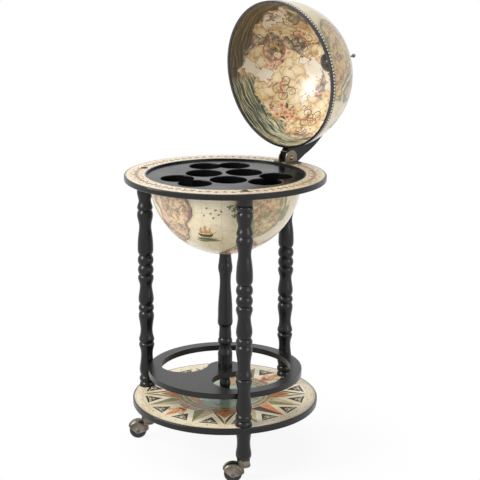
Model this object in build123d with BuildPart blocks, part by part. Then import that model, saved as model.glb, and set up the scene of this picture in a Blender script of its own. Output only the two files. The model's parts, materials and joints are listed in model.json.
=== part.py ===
from build123d import *
from math import acos, asin, atan2, cos, degrees, hypot, radians, sin, sqrt
import os

# A floor-standing globe drinks trolley: a lower bowl hung in a wide ring on three turned legs, and a
# half-globe lid that swings back on a meridian arm. Millimetres, +Z up. The origin is on the stand's
# axis at floor level, the hinge and the rear leg are on the +Y side. The lid is shown wide open.

# ---------------------------------------------------------------- driving dimensions: the stand
caster_height = 53.0
foot_post_length = 64.0
base_thickness = 15.0
base_margin = 20.0
shelf_lift = 54.0
shelf_thickness = 13.0
leg_length = 508.0
leg_setback = 17.3
ring_thickness = 13.0
ring_width = 49.5
rear_leg_angle = 90.0
leg_count = 3

# clearances
seat_gap = 0.3
fit_gap = 0.05
screw_gap = 0.3
stud_end_gap = 1.0
bowl_bore_gap = 1.0

# edges
ring_edge_round = 2.5
board_edge_round = 2.0

# printed sheets
print_thickness = 0.4
ring_print_margin = 3.5
base_print_margin = 3.0

# ---------------------------------------------------------------- driving dimensions: globe
globe_radius = 168.5
globe_wall = 3.0
bowl_drop = 12.0
bowl_flange_thickness = 2.5
tray_thickness = 2.5
tray_drop = 4.0
tray_side_gap = 1.0
bowl_ledge_width = 7.0

# ---------------------------------------------------------------- driving dimensions: tray wells
well_wall = 2.0
well_lip_round = 1.6
well_land = 4.5
bottle_well_radius = 41.0
bottle_well_clearance = 6.0
bottle_well_circle = 52.0
first_bottle_well_angle = 85.0
glass_well_depth = 45.0
glass_well_clearance = 9.0
glass_well_half_spread = 17.0
first_glass_well_angle = 25.0
well_sets = 3

# ---------------------------------------------------------------- driving dimensions: shelf
shelf_hub_radius = 40.0
shelf_band_width = 25.5
shelf_arm_angle = 276.0
shelf_arm_spread = 48.0

# ---------------------------------------------------------------- driving dimensions: lid and hinge
hinge_setback = 19.5
hinge_height = 12.0
lid_open_angle = 84.0
rim_drop = 1.4
hoop_height = 5.0
hoop_width = 4.8
hoop_groove = 0.6
lining_thickness = 1.0
arm_thickness = 19.0
arm_overrun = 12.0
arm_nose_chamfer = 10.0
arm_edge_round = 1.2
heel_length = 25.0
heel_run = 47.0
bracket_thickness = 2.5
bracket_half_width = 18.0
bracket_foot_length = 20.0
bracket_corner_round = 5.0
bracket_screw_setback = 3.4
bracket_screw_inset = 6.0
hinge_bolt_radius = 3.0
hinge_head_radius = 5.2
hinge_head_height = 3.0
hinge_nut_width = 9.5
hinge_nut_height = 4.0
hinge_bolt_overrun = 1.0

# finial at the lid's pole
finial_ball_radius = 4.8
finial_length = 41.0
finial_neck_radius = 1.9
finial_body_radius = 4.6
finial_body_length = 26.0
finial_collar_radius = 4.2
finial_collar_height = 1.6
finial_shank_radius = 2.5
pole_plate_radius = 22.0
pole_plate_thickness = 1.4
pole_nut_radius = 8.0
pole_nut_height = 5.0
pole_nut_edge = 1.0
pole_shank_overrun = 1.0

# ---------------------------------------------------------------- driving dimensions: casters
wheel_radius = 20.0
wheel_width = 20.0
wheel_hub_width = 22.0
wheel_hub_radius = 7.0
wheel_tread_round = 4.0
caster_trail = 23.0
caster_trail_angle = 227.0
hood_gap = 3.0
hood_wall = 2.2
hood_side_gap = 0.5
hood_shoulder_round = 9.0
hood_cavity_round = 6.0
hood_tip_angle = 26.0
hood_back_angle = 176.0
hood_point_radius = 6.5
cup_radius = 14.5
cup_bottom = 36.0
cup_lip_radius = 15.6
cup_lip_height = 2.4
axle_radius = 2.5
axle_head_radius = 4.5
axle_head_height = 1.6
stem_radius = 4.0
stem_flange_radius = 12.6
stem_flange_thickness = 1.5
stem_head_radius = 5.5
stem_head_height = 2.2
stem_depth = 30.0

# ---------------------------------------------------------------- driving dimensions: fasteners
stud_radius = 4.0
stud_in_post = 25.0
stud_in_leg = 35.0
ring_screw_radius = 2.5
ring_screw_length = 50.0
ring_screw_head_radius = 5.0
leg_cap_radius = 8.3
leg_cap_height = 2.6
leg_cap_edge = 0.8
leg_cap_pin_radius = 1.5
leg_cap_pin_length = 3.0
dowel_radius = 3.0
dowel_in_leg = 9.0
dowel_in_shelf = 16.0
wood_screw_radius = 1.8
wood_screw_length = 9.0
wood_screw_head_radius = 3.6
wood_screw_head_height = 1.5
rim_screw_radius = 1.4
rim_screw_head_radius = 2.6
rim_screw_count = 6
rim_screw_first_angle = 60.0
arm_screw_radius = 2.0
arm_screw_length = 24.0
arm_screw_head_radius = 3.8
arm_screw_head_height = 1.8
arm_screw_angles = (26.0, 50.0, 74.0)
bowl_screw_radius = 2.5
bowl_screw_length = 34.0
bowl_screw_head_radius = 6.0
bowl_screw_head_height = 2.4
bowl_screw_slot = 1.2
post_stud_in_post = 40.0
post_stud_in_base = 11.0

# ---------------------------------------------------------------- heights and places worked out
base_bottom = caster_height + foot_post_length
base_top = base_bottom + base_thickness
shelf_bottom = base_top + shelf_lift
shelf_top = shelf_bottom + shelf_thickness
ring_bottom = base_top + leg_length
ring_top = ring_bottom + ring_thickness
ring_bore_radius = globe_radius + bowl_ledge_width
ring_radius = ring_bore_radius + ring_width
leg_circle_radius = ring_bore_radius + leg_setback
base_radius = leg_circle_radius + base_margin
hinge_distance = ring_bore_radius + hinge_setback
deck_top = ring_top - tray_drop
deck_bottom = deck_top - tray_thickness
flange_bottom = deck_bottom - bowl_flange_thickness
bowl_centre = ring_top - bowl_drop
bowl_inner_radius = globe_radius - globe_wall
ledge_bore_radius = globe_radius + bowl_bore_gap
rim_screw_circle = (ledge_bore_radius + ring_bore_radius) / 2
bowl_bottom = bowl_centre - globe_radius
flange_radius = ring_bore_radius - seat_gap
tray_radius = ring_bore_radius - tray_side_gap

# the bottle wells reach down until their floors near the bowl
deck_rise = deck_top - bowl_centre
bottle_well_reach = bowl_inner_radius - bottle_well_clearance
bottle_well_edge = bottle_well_circle + bottle_well_radius + well_wall
bottle_well_depth = sqrt(bottle_well_reach**2 - bottle_well_edge**2) + deck_rise - well_wall

# the glass wells fill the room between the bowl and the bottle wells, less the land between them
glass_well_reach = bowl_inner_radius - glass_well_clearance
glass_well_drop = glass_well_depth + well_wall - deck_rise
glass_well_edge = sqrt(glass_well_reach**2 - glass_well_drop**2) - well_wall
set_turn = 360.0 / well_sets
well_turn = radians(first_bottle_well_angle - first_glass_well_angle - glass_well_half_spread)
bottle_land_radius = bottle_well_radius + well_land
bottle_well_shift = bottle_well_circle * cos(well_turn)
glass_room = glass_well_edge**2 + bottle_well_circle**2 - bottle_land_radius**2
glass_room -= 2 * glass_well_edge * bottle_well_shift
glass_well_radius = glass_room / 2 / (glass_well_edge + bottle_land_radius - bottle_well_shift)
glass_well_circle = glass_well_edge - glass_well_radius

leg_angles = [rear_leg_angle + 360.0 / leg_count * i for i in range(leg_count)]
leg_names = ["rear", "left", "right"]

pivot_z = ring_top + hinge_height
lid_closed_z = deck_top + seat_gap + rim_drop
lid_inner_radius = globe_radius - globe_wall
lining_radius = lid_inner_radius - seat_gap
lining_inner_radius = lining_radius - lining_thickness
arm_inner_radius = globe_radius + seat_gap
arm_end_radius = hinge_height - seat_gap
pivot_from_lid = (hinge_distance, pivot_z - lid_closed_z)
arm_radius = hypot(*pivot_from_lid) + arm_end_radius

bracket_screw_x = arm_thickness / 2 + seat_gap + bracket_foot_length - bracket_screw_inset
bracket_screw_y = hinge_distance - bracket_screw_setback
bracket_screw_places = [(-bracket_screw_x, bracket_screw_y), (bracket_screw_x, bracket_screw_y)]

# the lid's own frame at the open pose: x away from the lid's axis, y towards its pole
open_turn = radians(lid_open_angle)
lid_y = hinge_distance - hinge_distance * cos(open_turn) + (lid_closed_z - pivot_z) * sin(open_turn)
lid_z = pivot_z + hinge_distance * sin(open_turn) + (lid_closed_z - pivot_z) * cos(open_turn)
lid_side = Plane(
    origin=(0, lid_y, lid_z),
    x_dir=(0, cos(open_turn), -sin(open_turn)),
    z_dir=(1, 0, 0),
)
lid_axis = Axis(lid_side.origin, lid_side.y_dir)


# ---------------------------------------------------------------- helpers
def at_angle(radius, angle, height=0.0):
    """A point on a circle about the stand's axis."""
    return (radius * cos(radians(angle)), radius * sin(radians(angle)), height)


def turned_outline(elements, start_radius):
    """The half section of a turned post, from its foot at height 0 upwards."""
    with BuildLine() as outline:
        Line((0, 0), (start_radius, 0))
        here = (start_radius, 0)
        for shape, top, end_radius, detail in elements:
            there = (end_radius, top)
            middle = (here[1] + top) / 2
            if shape == "bead":
                ThreePointArc(here, (detail, middle), there)
            elif shape == "vase":
                Spline(here, *[(radius, height) for height, radius in detail], there)
            else:
                Line(here, there)
            here = there
        Polyline(here, (0, here[1]), (0, 0))
    return outline.edges()


def dome_outline(outer, inner, outer_low, inner_low, bore):
    """The half section of a spherical shell, from its faces' low edges up to a bore at the pole."""
    outer_start = degrees(asin(outer_low / outer))
    inner_start = degrees(asin(inner_low / inner))
    outer_end = degrees(acos(bore / outer))
    inner_end = degrees(acos(bore / inner))
    with BuildLine() as outline:
        skin = CenterArc((0, 0), outer, outer_start, outer_end - outer_start)
        back = CenterArc((0, 0), inner, inner_start, inner_end - inner_start)
        Line(skin @ 0, back @ 0)
        Line(skin @ 1, back @ 1)
    return outline.edges()


def dome_arc(radius, rise, base):
    """The arc of a domed head, from its edge to its top on the axis."""
    ball = (radius**2 + rise**2) / (2 * rise)
    start = degrees(acos(radius / ball))
    return CenterArc((0, base + rise - ball), ball, start, 90 - start)


def save(builder, name):
    """Label a finished piece and write its file."""
    builder.part.label = name
    export_step(builder.part, f"parts/{name}.step")


os.makedirs("parts", exist_ok=True)

# ---------------------------------------------------------------- turned legs
leg_foot_radius = 17.6
leg_widest_radius = 18.3
leg_at_shelf_radius = 16.2
leg_turning = [
    ("bead", 10.0, 15.0, 17.5),
    ("bead", 25.0, 14.8, 18.0),
    ("vase", 61.0, 15.2, [(30.0, 16.0), (40.5, 17.5), (50.0, 16.5)]),
    ("vase", 107.5, 15.0, [(73.0, 13.9), (84.0, 14.2), (94.0, 16.2), (101.5, 18.0)]),
    ("vase", 182.5, 14.9, [(115.5, 17.9), (122.0, 16.2), (134.0, 14.2), (163.0, 17.1), (174.0, 17.9)]),
    ("bead", 199.5, 14.3, 18.0),
    ("vase", 271.5, 14.6, [(213.0, 17.8), (224.0, 16.6), (236.0, 14.8), (247.0, 14.4), (264.8, 18.1)]),
    ("bead", 293.8, 14.4, 18.2),
    ("bead", 317.6, 14.2, leg_widest_radius),
    ("vase", 423.5, 15.2, [(323.0, 17.0), (335.0, 18.2), (368.0, 15.8), (389.0, 14.2), (417.0, 17.9)]),
    ("vase", 477.0, 15.0, [(431.0, 17.8), (438.0, 15.8), (446.5, 14.3), (454.0, 15.9), (465.0, 17.9)]),
    ("bead", 490.5, 15.2, 17.9),
    ("line", 491.5, 17.0, None),
    ("line", leg_length, 17.0, None),
]

leg_outline = turned_outline(leg_turning, leg_foot_radius)

shelf_radius = leg_circle_radius - leg_at_shelf_radius - seat_gap
shelf_band_radius = shelf_radius - shelf_band_width
dowel_height = shelf_bottom + shelf_thickness / 2

for name, angle in zip(leg_names, leg_angles):
    foot = at_angle(leg_circle_radius, angle, base_top)
    inward = (-cos(radians(angle)), -sin(radians(angle)), 0)
    side = Plane(origin=foot, x_dir=inward, z_dir=Vector(*inward).cross(Vector(0, 0, 1)))
    with BuildPart() as leg:
        with BuildSketch(side):
            make_face(leg_outline)
        revolve(axis=Axis(foot, (0, 0, 1)))
        with BuildSketch(Plane(origin=foot)):
            Circle(stud_radius + fit_gap)
        extrude(amount=stud_in_leg, mode=Mode.SUBTRACT)
        with BuildSketch(Plane(origin=(foot[0], foot[1], ring_bottom))):
            Circle(ring_screw_radius + fit_gap)
        extrude(amount=-ring_screw_length, mode=Mode.SUBTRACT)
        with BuildSketch(Plane(origin=(foot[0], foot[1], dowel_height), z_dir=inward)):
            Circle(dowel_radius + fit_gap)
        extrude(amount=leg_widest_radius + seat_gap, mode=Mode.SUBTRACT)
    save(leg, f"leg_{name}")

# ---------------------------------------------------------------- turned foot posts
post_foot_radius = 13.0
post_turning = [
    ("vase", 61.5, 16.9, [(4.0, 16.2), (13.0, 17.3), (24.0, 15.7), (34.0, 14.7), (47.0, 15.2)]),
    ("line", foot_post_length, 17.2, None),
]
foot_post_outline = turned_outline(post_turning, post_foot_radius)

for name, angle in zip(leg_names, leg_angles):
    foot = at_angle(leg_circle_radius, angle, caster_height)
    outward = (cos(radians(angle)), sin(radians(angle)), 0)
    side = Plane(origin=foot, x_dir=outward, z_dir=Vector(*outward).cross(Vector(0, 0, 1)))
    with BuildPart() as foot_post:
        with BuildSketch(side):
            make_face(foot_post_outline)
        revolve(axis=Axis(foot, (0, 0, 1)))
        with BuildSketch(Plane(origin=foot)):
            Circle(stem_radius + fit_gap)
        extrude(amount=stem_depth, mode=Mode.SUBTRACT)
        with BuildSketch(Plane(origin=(foot[0], foot[1], base_bottom))):
            Circle(stud_radius + fit_gap)
        extrude(amount=-stud_in_post, mode=Mode.SUBTRACT)
    save(foot_post, f"foot_post_{name}")

# ---------------------------------------------------------------- studs, ring screws, caps, dowels
with BuildPart() as leg_studs:
    with BuildSketch(Plane.XY.offset(base_bottom - stud_in_post + stud_end_gap)):
        with PolarLocations(leg_circle_radius, leg_count, rear_leg_angle):
            Circle(stud_radius)
    extrude(amount=stud_in_post + base_thickness + stud_in_leg - 2 * stud_end_gap)
save(leg_studs, "leg_studs")

ring_screw_head_height = ring_screw_head_radius - ring_screw_radius
with BuildPart() as ring_screws:
    with BuildSketch(Plane.XY.offset(ring_top - print_thickness)):
        with PolarLocations(leg_circle_radius, leg_count, rear_leg_angle):
            Circle(ring_screw_radius)
    extrude(amount=-(ring_thickness - print_thickness + ring_screw_length - stud_end_gap))
    with Locations([at_angle(leg_circle_radius, a, ring_top - print_thickness) for a in leg_angles]):
        Cone(
            ring_screw_radius,
            ring_screw_head_radius,
            ring_screw_head_height,
            align=(Align.CENTER, Align.CENTER, Align.MAX),
        )
    with Locations([at_angle(leg_circle_radius, a, ring_top - print_thickness) for a in leg_angles]):
        Cylinder(
            leg_cap_pin_radius + fit_gap,
            leg_cap_pin_length + stud_end_gap,
            align=(Align.CENTER, Align.CENTER, Align.MAX),
            mode=Mode.SUBTRACT,
        )
save(ring_screws, "ring_screws")

with BuildPart() as leg_caps:
    for angle in leg_angles[1:]:
        seat = at_angle(leg_circle_radius, angle, ring_top)
        with BuildSketch(Plane(origin=seat, x_dir=(1, 0, 0), z_dir=(0, -1, 0))):
            with BuildLine():
                Polyline(
                    (0, leg_cap_height),
                    (0, -print_thickness - leg_cap_pin_length),
                    (leg_cap_pin_radius, -print_thickness - leg_cap_pin_length),
                    (leg_cap_pin_radius, 0),
                    (leg_cap_radius, 0),
                    (leg_cap_radius, leg_cap_edge),
                )
                dome_arc(leg_cap_radius, leg_cap_height - leg_cap_edge, leg_cap_edge)
            make_face()
        revolve(axis=Axis(seat, (0, 0, 1)))
save(leg_caps, "leg_caps")

with BuildPart() as shelf_dowels:
    for angle in leg_angles:
        outward = (cos(radians(angle)), sin(radians(angle)), 0)
        inner_end = at_angle(shelf_radius - dowel_in_shelf + stud_end_gap, angle, dowel_height)
        with BuildSketch(Plane(origin=inner_end, z_dir=outward)):
            Circle(dowel_radius)
        extrude(amount=dowel_in_shelf + dowel_in_leg - stud_end_gap)
save(shelf_dowels, "shelf_dowels")

# ---------------------------------------------------------------- base disc and its print
base_print_radius = base_radius - base_print_margin
with BuildPart() as base_disc:
    with BuildSketch(Plane.XY.offset(base_bottom)):
        Circle(base_radius)
    extrude(amount=base_thickness)
    fillet(base_disc.edges(), board_edge_round)
    with BuildSketch(Plane.XY.offset(base_top)):
        Circle(base_print_radius + fit_gap)
        with PolarLocations(leg_circle_radius, leg_count, rear_leg_angle):
            Circle(leg_widest_radius + seat_gap, mode=Mode.SUBTRACT)
    extrude(amount=-print_thickness, mode=Mode.SUBTRACT)
    with BuildSketch(Plane.XY.offset(base_bottom)):
        with PolarLocations(leg_circle_radius, leg_count, rear_leg_angle):
            Circle(stud_radius + screw_gap)
    extrude(amount=base_thickness, mode=Mode.SUBTRACT)
    with BuildSketch(Plane.XY.offset(base_top)):
        Circle(stud_radius + fit_gap)
    extrude(amount=-post_stud_in_base, mode=Mode.SUBTRACT)
save(base_disc, "base_disc")

with BuildPart() as base_print:
    with BuildSketch(Plane.XY.offset(base_top - print_thickness)):
        Circle(base_print_radius)
        Circle(stud_radius + screw_gap, mode=Mode.SUBTRACT)
        with PolarLocations(leg_circle_radius, leg_count, rear_leg_angle):
            Circle(leg_widest_radius + 2 * seat_gap, mode=Mode.SUBTRACT)
    extrude(amount=print_thickness)
save(base_print, "base_print")

# ---------------------------------------------------------------- bottle shelf with its C-shaped opening
slot_mid_radius = (shelf_hub_radius + shelf_band_radius) / 2
slot_width = shelf_band_radius - shelf_hub_radius
slot_end_angle = 2 * degrees(asin(slot_width / 4 / slot_mid_radius))
slot_half_arm = shelf_arm_spread / 2 + slot_end_angle
slot_start = shelf_arm_angle + slot_half_arm
slot_sweep = 360.0 - 2 * slot_half_arm
slot_path = CenterArc((0, 0), slot_mid_radius, slot_start, slot_sweep)

with BuildPart() as bottle_shelf:
    with BuildSketch(Plane.XY.offset(shelf_bottom)):
        Circle(shelf_radius)
        SlotArc(slot_path, slot_width, mode=Mode.SUBTRACT)
        Circle(stud_radius + screw_gap, mode=Mode.SUBTRACT)
    extrude(amount=shelf_thickness)
    for angle in leg_angles:
        inward = (-cos(radians(angle)), -sin(radians(angle)), 0)
        with BuildSketch(Plane(origin=at_angle(shelf_radius, angle, dowel_height), z_dir=inward)):
            Circle(dowel_radius + fit_gap)
        extrude(amount=dowel_in_shelf, mode=Mode.SUBTRACT)
save(bottle_shelf, "bottle_shelf")

# ---------------------------------------------------------------- centre post, its spacer and stud
post_length = bowl_bottom - seat_gap - shelf_top
post_start_radius = 17.5
post_turning_shape = [
    ("line", 30.0, 17.5, None),
    ("bead", 38.5, 14.4, 17.1),
    ("bead", 49.5, 14.2, 16.2),
    ("bead", 73.8, 14.2, 17.5),
    ("bead", 86.0, 12.6, 15.3),
    ("vase", 148.0, 17.2, [(91.0, 14.2), (97.0, 16.3), (107.0, 17.6), (124.0, 17.9)]),
    ("vase", 226.3, 15.0, [(176.0, 15.4), (207.0, 13.4), (217.5, 14.4), (223.5, 16.3)]),
    ("vase", post_length, 13.4, [(231.0, 16.8), (238.0, 17.4), (247.5, 16.5), (257.0, 14.6), (265.0, 14.0)]),
]
post_outline = turned_outline(post_turning, post_foot_radius)

for name, angle in zip(leg_names, leg_angles):
    foot = at_angle(leg_circle_radius, angle, caster_height)
    outward = (cos(radians(angle)), sin(radians(angle)), 0)
    side = Plane(origin=foot, x_dir=outward, z_dir=Vector(*outward).cross(Vector(0, 0, 1)))
    with BuildPart() as foot_post:
        with BuildSketch(side):
            make_face(foot_post_outline)
        revolve(axis=Axis(foot, (0, 0, 1)))
        with BuildSketch(Plane(origin=foot)):
            Circle(stem_radius + fit_gap)
        extrude(amount=stem_depth, mode=Mode.SUBTRACT)
        with BuildSketch(Plane(origin=(foot[0], foot[1], base_bottom))):
            Circle(stud_radius + fit_gap)
        extrude(amount=-stud_in_post, mode=Mode.SUBTRACT)
    save(foot_post, f"foot_post_{name}")

# ---------------------------------------------------------------- studs, ring screws, caps, dowels
with BuildPart() as leg_studs:
    with BuildSketch(Plane.XY.offset(base_bottom - stud_in_post + stud_end_gap)):
        with PolarLocations(leg_circle_radius, leg_count, rear_leg_angle):
            Circle(stud_radius)
    extrude(amount=stud_in_post + base_thickness + stud_in_leg - 2 * stud_end_gap)
save(leg_studs, "leg_studs")

ring_screw_head_height = ring_screw_head_radius - ring_screw_radius
with BuildPart() as ring_screws:
    with BuildSketch(Plane.XY.offset(ring_top - print_thickness)):
        with PolarLocations(leg_circle_radius, leg_count, rear_leg_angle):
            Circle(ring_screw_radius)
    extrude(amount=-(ring_thickness - print_thickness + ring_screw_length - stud_end_gap))
    with Locations([at_angle(leg_circle_radius, a, ring_top - print_thickness) for a in leg_angles]):
        Cone(
            ring_screw_radius,
            ring_screw_head_radius,
            ring_screw_head_height,
            align=(Align.CENTER, Align.CENTER, Align.MAX),
        )
    with Locations([at_angle(leg_circle_radius, a, ring_top - print_thickness) for a in leg_angles]):
        Cylinder(
            leg_cap_pin_radius + fit_gap,
            leg_cap_pin_length + stud_end_gap,
            align=(Align.CENTER, Align.CENTER, Align.MAX),
            mode=Mode.SUBTRACT,
        )
save(ring_screws, "ring_screws")

with BuildPart() as leg_caps:
    for angle in leg_angles[1:]:
        seat = at_angle(leg_circle_radius, angle, ring_top)
        with BuildSketch(Plane(origin=seat, x_dir=(1, 0, 0), z_dir=(0, -1, 0))):
            with BuildLine():
                Polyline(
                    (0, leg_cap_height),
                    (0, -print_thickness - leg_cap_pin_length),
                    (leg_cap_pin_radius, -print_thickness - leg_cap_pin_length),
                    (leg_cap_pin_radius, 0),
                    (leg_cap_radius, 0),
                    (leg_cap_radius, leg_cap_edge),
                )
                dome_arc(leg_cap_radius, leg_cap_height - leg_cap_edge, leg_cap_edge)
            make_face()
        revolve(axis=Axis(seat, (0, 0, 1)))
save(leg_caps, "leg_caps")

with BuildPart() as shelf_dowels:
    for angle in leg_angles:
        outward = (cos(radians(angle)), sin(radians(angle)), 0)
        inner_end = at_angle(shelf_radius - dowel_in_shelf + stud_end_gap, angle, dowel_height)
        with BuildSketch(Plane(origin=inner_end, z_dir=outward)):
            Circle(dowel_radius)
        extrude(amount=dowel_in_shelf + dowel_in_leg - stud_end_gap)
save(shelf_dowels, "shelf_dowels")

# ---------------------------------------------------------------- base disc and its print
base_print_radius = base_radius - base_print_margin
with BuildPart() as base_disc:
    with BuildSketch(Plane.XY.offset(base_bottom)):
        Circle(base_radius)
    extrude(amount=base_thickness)
    fillet(base_disc.edges(), board_edge_round)
    with BuildSketch(Plane.XY.offset(base_top)):
        Circle(base_print_radius + fit_gap)
        with PolarLocations(leg_circle_radius, leg_count, rear_leg_angle):
            Circle(leg_widest_radius + seat_gap, mode=Mode.SUBTRACT)
    extrude(amount=-print_thickness, mode=Mode.SUBTRACT)
    with BuildSketch(Plane.XY.offset(base_bottom)):
        with PolarLocations(leg_circle_radius, leg_count, rear_leg_angle):
            Circle(stud_radius + screw_gap)
    extrude(amount=base_thickness, mode=Mode.SUBTRACT)
    with BuildSketch(Plane.XY.offset(base_top)):
        Circle(stud_radius + fit_gap)
    extrude(amount=-post_stud_in_base, mode=Mode.SUBTRACT)
save(base_disc, "base_disc")

with BuildPart() as base_print:
    with BuildSketch(Plane.XY.offset(base_top - print_thickness)):
        Circle(base_print_radius)
        Circle(stud_radius + screw_gap, mode=Mode.SUBTRACT)
        with PolarLocations(leg_circle_radius, leg_count, rear_leg_angle):
            Circle(leg_widest_radius + 2 * seat_gap, mode=Mode.SUBTRACT)
    extrude(amount=print_thickness)
save(base_print, "base_print")

# ---------------------------------------------------------------- bottle shelf with its C-shaped opening
slot_mid_radius = (shelf_hub_radius + shelf_band_radius) / 2
slot_width = shelf_band_radius - shelf_hub_radius
slot_end_angle = 2 * degrees(asin(slot_width / 4 / slot_mid_radius))
slot_half_arm = shelf_arm_spread / 2 + slot_end_angle
slot_start = shelf_arm_angle + slot_half_arm
slot_sweep = 360.0 - 2 * slot_half_arm
slot_path = CenterArc((0, 0), slot_mid_radius, slot_start, slot_sweep)

with BuildPart() as bottle_shelf:
    with BuildSketch(Plane.XY.offset(shelf_bottom)):
        Circle(shelf_radius)
        SlotArc(slot_path, slot_width, mode=Mode.SUBTRACT)
        Circle(stud_radius + screw_gap, mode=Mode.SUBTRACT)
    extrude(amount=shelf_thickness)
    for angle in leg_angles:
        inward = (-cos(radians(angle)), -sin(radians(angle)), 0)
        with BuildSketch(Plane(origin=at_angle(shelf_radius, angle, dowel_height), z_dir=inward)):
            Circle(dowel_radius + fit_gap)
        extrude(amount=dowel_in_shelf, mode=Mode.SUBTRACT)
save(bottle_shelf, "bottle_shelf")

# ---------------------------------------------------------------- centre post, its spacer and stud
post_length = bowl_bottom - seat_gap - shelf_top
post_start_radius = 16.6
post_turning_shape = [
    ("line", 29.0, 16.6, None),
    ("vase", 55.0, 14.0, [(34.0, 16.6), (43.0, 14.2), (50.0, 13.6)]),
    ("bead", 71.0, 14.2, 16.6),
    ("vase", 93.0, 13.4, [(78.0, 14.4), (86.0, 13.9)]),
    ("drum", 99.0, 13.8, 14.8),
    ("vase", 224.0, 14.0, [(104.0, 16.6), (117.0, 17.0), (135.0, 16.6), (164.0, 15.2), (207.0, 12.6)]),
    ("bead", 248.0, 15.0, 16.4),
    ("vase", 263.0, 13.4, [(255.0, 14.4)]),
    ("line", post_length, 13.4, None),
]
post_outline = turned_outline(post_turning_shape, post_start_radius)

with BuildPart() as centre_post:
    with BuildSketch(Plane(origin=(0, 0, shelf_top), x_dir=(1, 0, 0), z_dir=(0, -1, 0))):
        make_face(post_outline)
    revolve(axis=Axis.Z)
    with BuildSketch(Plane.XY.offset(shelf_top)):
        Circle(stud_radius + fit_gap)
    extrude(amount=post_stud_in_post, mode=Mode.SUBTRACT)
    with BuildSketch(Plane.XY.offset(shelf_top + post_length)):
        Circle(bowl_screw_radius + fit_gap)
    extrude(amount=-bowl_screw_length, mode=Mode.SUBTRACT)
save(centre_post, "centre_post")

spacer_turning = [
    ("bead", 9.0, 12.2, 13.6),
    ("vase", shelf_lift - 9.0, 12.2, [(18.0, 11.4), (27.0, 12.9), (36.0, 11.4)]),
    ("bead", shelf_lift, 12.4, 13.6),
]
spacer_outline = turned_outline(spacer_turning, 12.4)
with BuildPart() as centre_post_foot:
    with BuildSketch(Plane(origin=(0, 0, base_top), x_dir=(1, 0, 0), z_dir=(0, -1, 0))):
        make_face(spacer_outline)
    revolve(axis=Axis.Z)
    with BuildSketch(Plane.XY.offset(base_top)):
        Circle(stud_radius + fit_gap)
    extrude(amount=shelf_lift, mode=Mode.SUBTRACT)
save(centre_post_foot, "centre_post_foot")

post_stud_bottom = base_top - post_stud_in_base + stud_end_gap
with BuildPart() as post_stud:
    with BuildSketch(Plane.XY.offset(post_stud_bottom)):
        Circle(stud_radius)
    extrude(amount=shelf_top + post_stud_in_post - stud_end_gap - post_stud_bottom)
save(post_stud, "post_stud")

# ---------------------------------------------------------------- horizon ring and its print
print_inner_radius = ring_bore_radius + ring_print_margin
print_outer_radius = ring_radius - ring_print_margin
with BuildPart() as horizon_ring:
    with BuildSketch(Plane.XY.offset(ring_bottom)):
        Circle(ring_radius)
    extrude(amount=ring_thickness)
    fillet(horizon_ring.edges(), ring_edge_round)
    with BuildSketch(Plane.XY.offset(ring_bottom)):
        Circle(ledge_bore_radius)
    extrude(amount=ring_thickness, mode=Mode.SUBTRACT)
    with BuildSketch(Plane.XY.offset(flange_bottom)):
        Circle(ring_bore_radius)
    extrude(amount=ring_top - flange_bottom, mode=Mode.SUBTRACT)
    with BuildSketch(Plane.XY.offset(ring_top)):
        Circle(print_outer_radius + fit_gap)
        Circle(print_inner_radius - fit_gap, mode=Mode.SUBTRACT)
    extrude(amount=-print_thickness, mode=Mode.SUBTRACT)
    with BuildSketch(Plane.XY.offset(ring_bottom)):
        with PolarLocations(leg_circle_radius, leg_count, rear_leg_angle):
            Circle(ring_screw_radius + screw_gap)
    extrude(amount=ring_thickness, mode=Mode.SUBTRACT)
    with Locations([at_angle(leg_circle_radius, a, ring_top - print_thickness) for a in leg_angles]):
        Cone(
            ring_screw_radius + screw_gap,
            ring_screw_head_radius + screw_gap,
            ring_screw_head_height,
            align=(Align.CENTER, Align.CENTER, Align.MAX),
            mode=Mode.SUBTRACT,
        )
    with BuildSketch(Plane.XY.offset(flange_bottom)):
        with PolarLocations(rim_screw_circle, rim_screw_count, rim_screw_first_angle):
            Circle(rim_screw_radius + fit_gap)
    extrude(amount=-(flange_bottom - ring_bottom), mode=Mode.SUBTRACT)
    with BuildSketch(Plane.XY.offset(ring_top)):
        with Locations(*bracket_screw_places):
            Circle(wood_screw_radius + fit_gap)
    extrude(amount=-(wood_screw_length + stud_end_gap), mode=Mode.SUBTRACT)
save(horizon_ring, "horizon_ring")

with BuildPart() as ring_print:
    with BuildSketch(Plane.XY.offset(ring_top - print_thickness)):
        Circle(print_outer_radius)
        Circle(print_inner_radius, mode=Mode.SUBTRACT)
        with Locations(*[at_angle(leg_circle_radius, a) for a in leg_angles[1:]]):
            Circle(leg_cap_pin_radius + screw_gap, mode=Mode.SUBTRACT)
        with Locations(*bracket_screw_places):
            Circle(wood_screw_radius + screw_gap, mode=Mode.SUBTRACT)
    extrude(amount=print_thickness)
save(ring_print, "ring_print")

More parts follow.
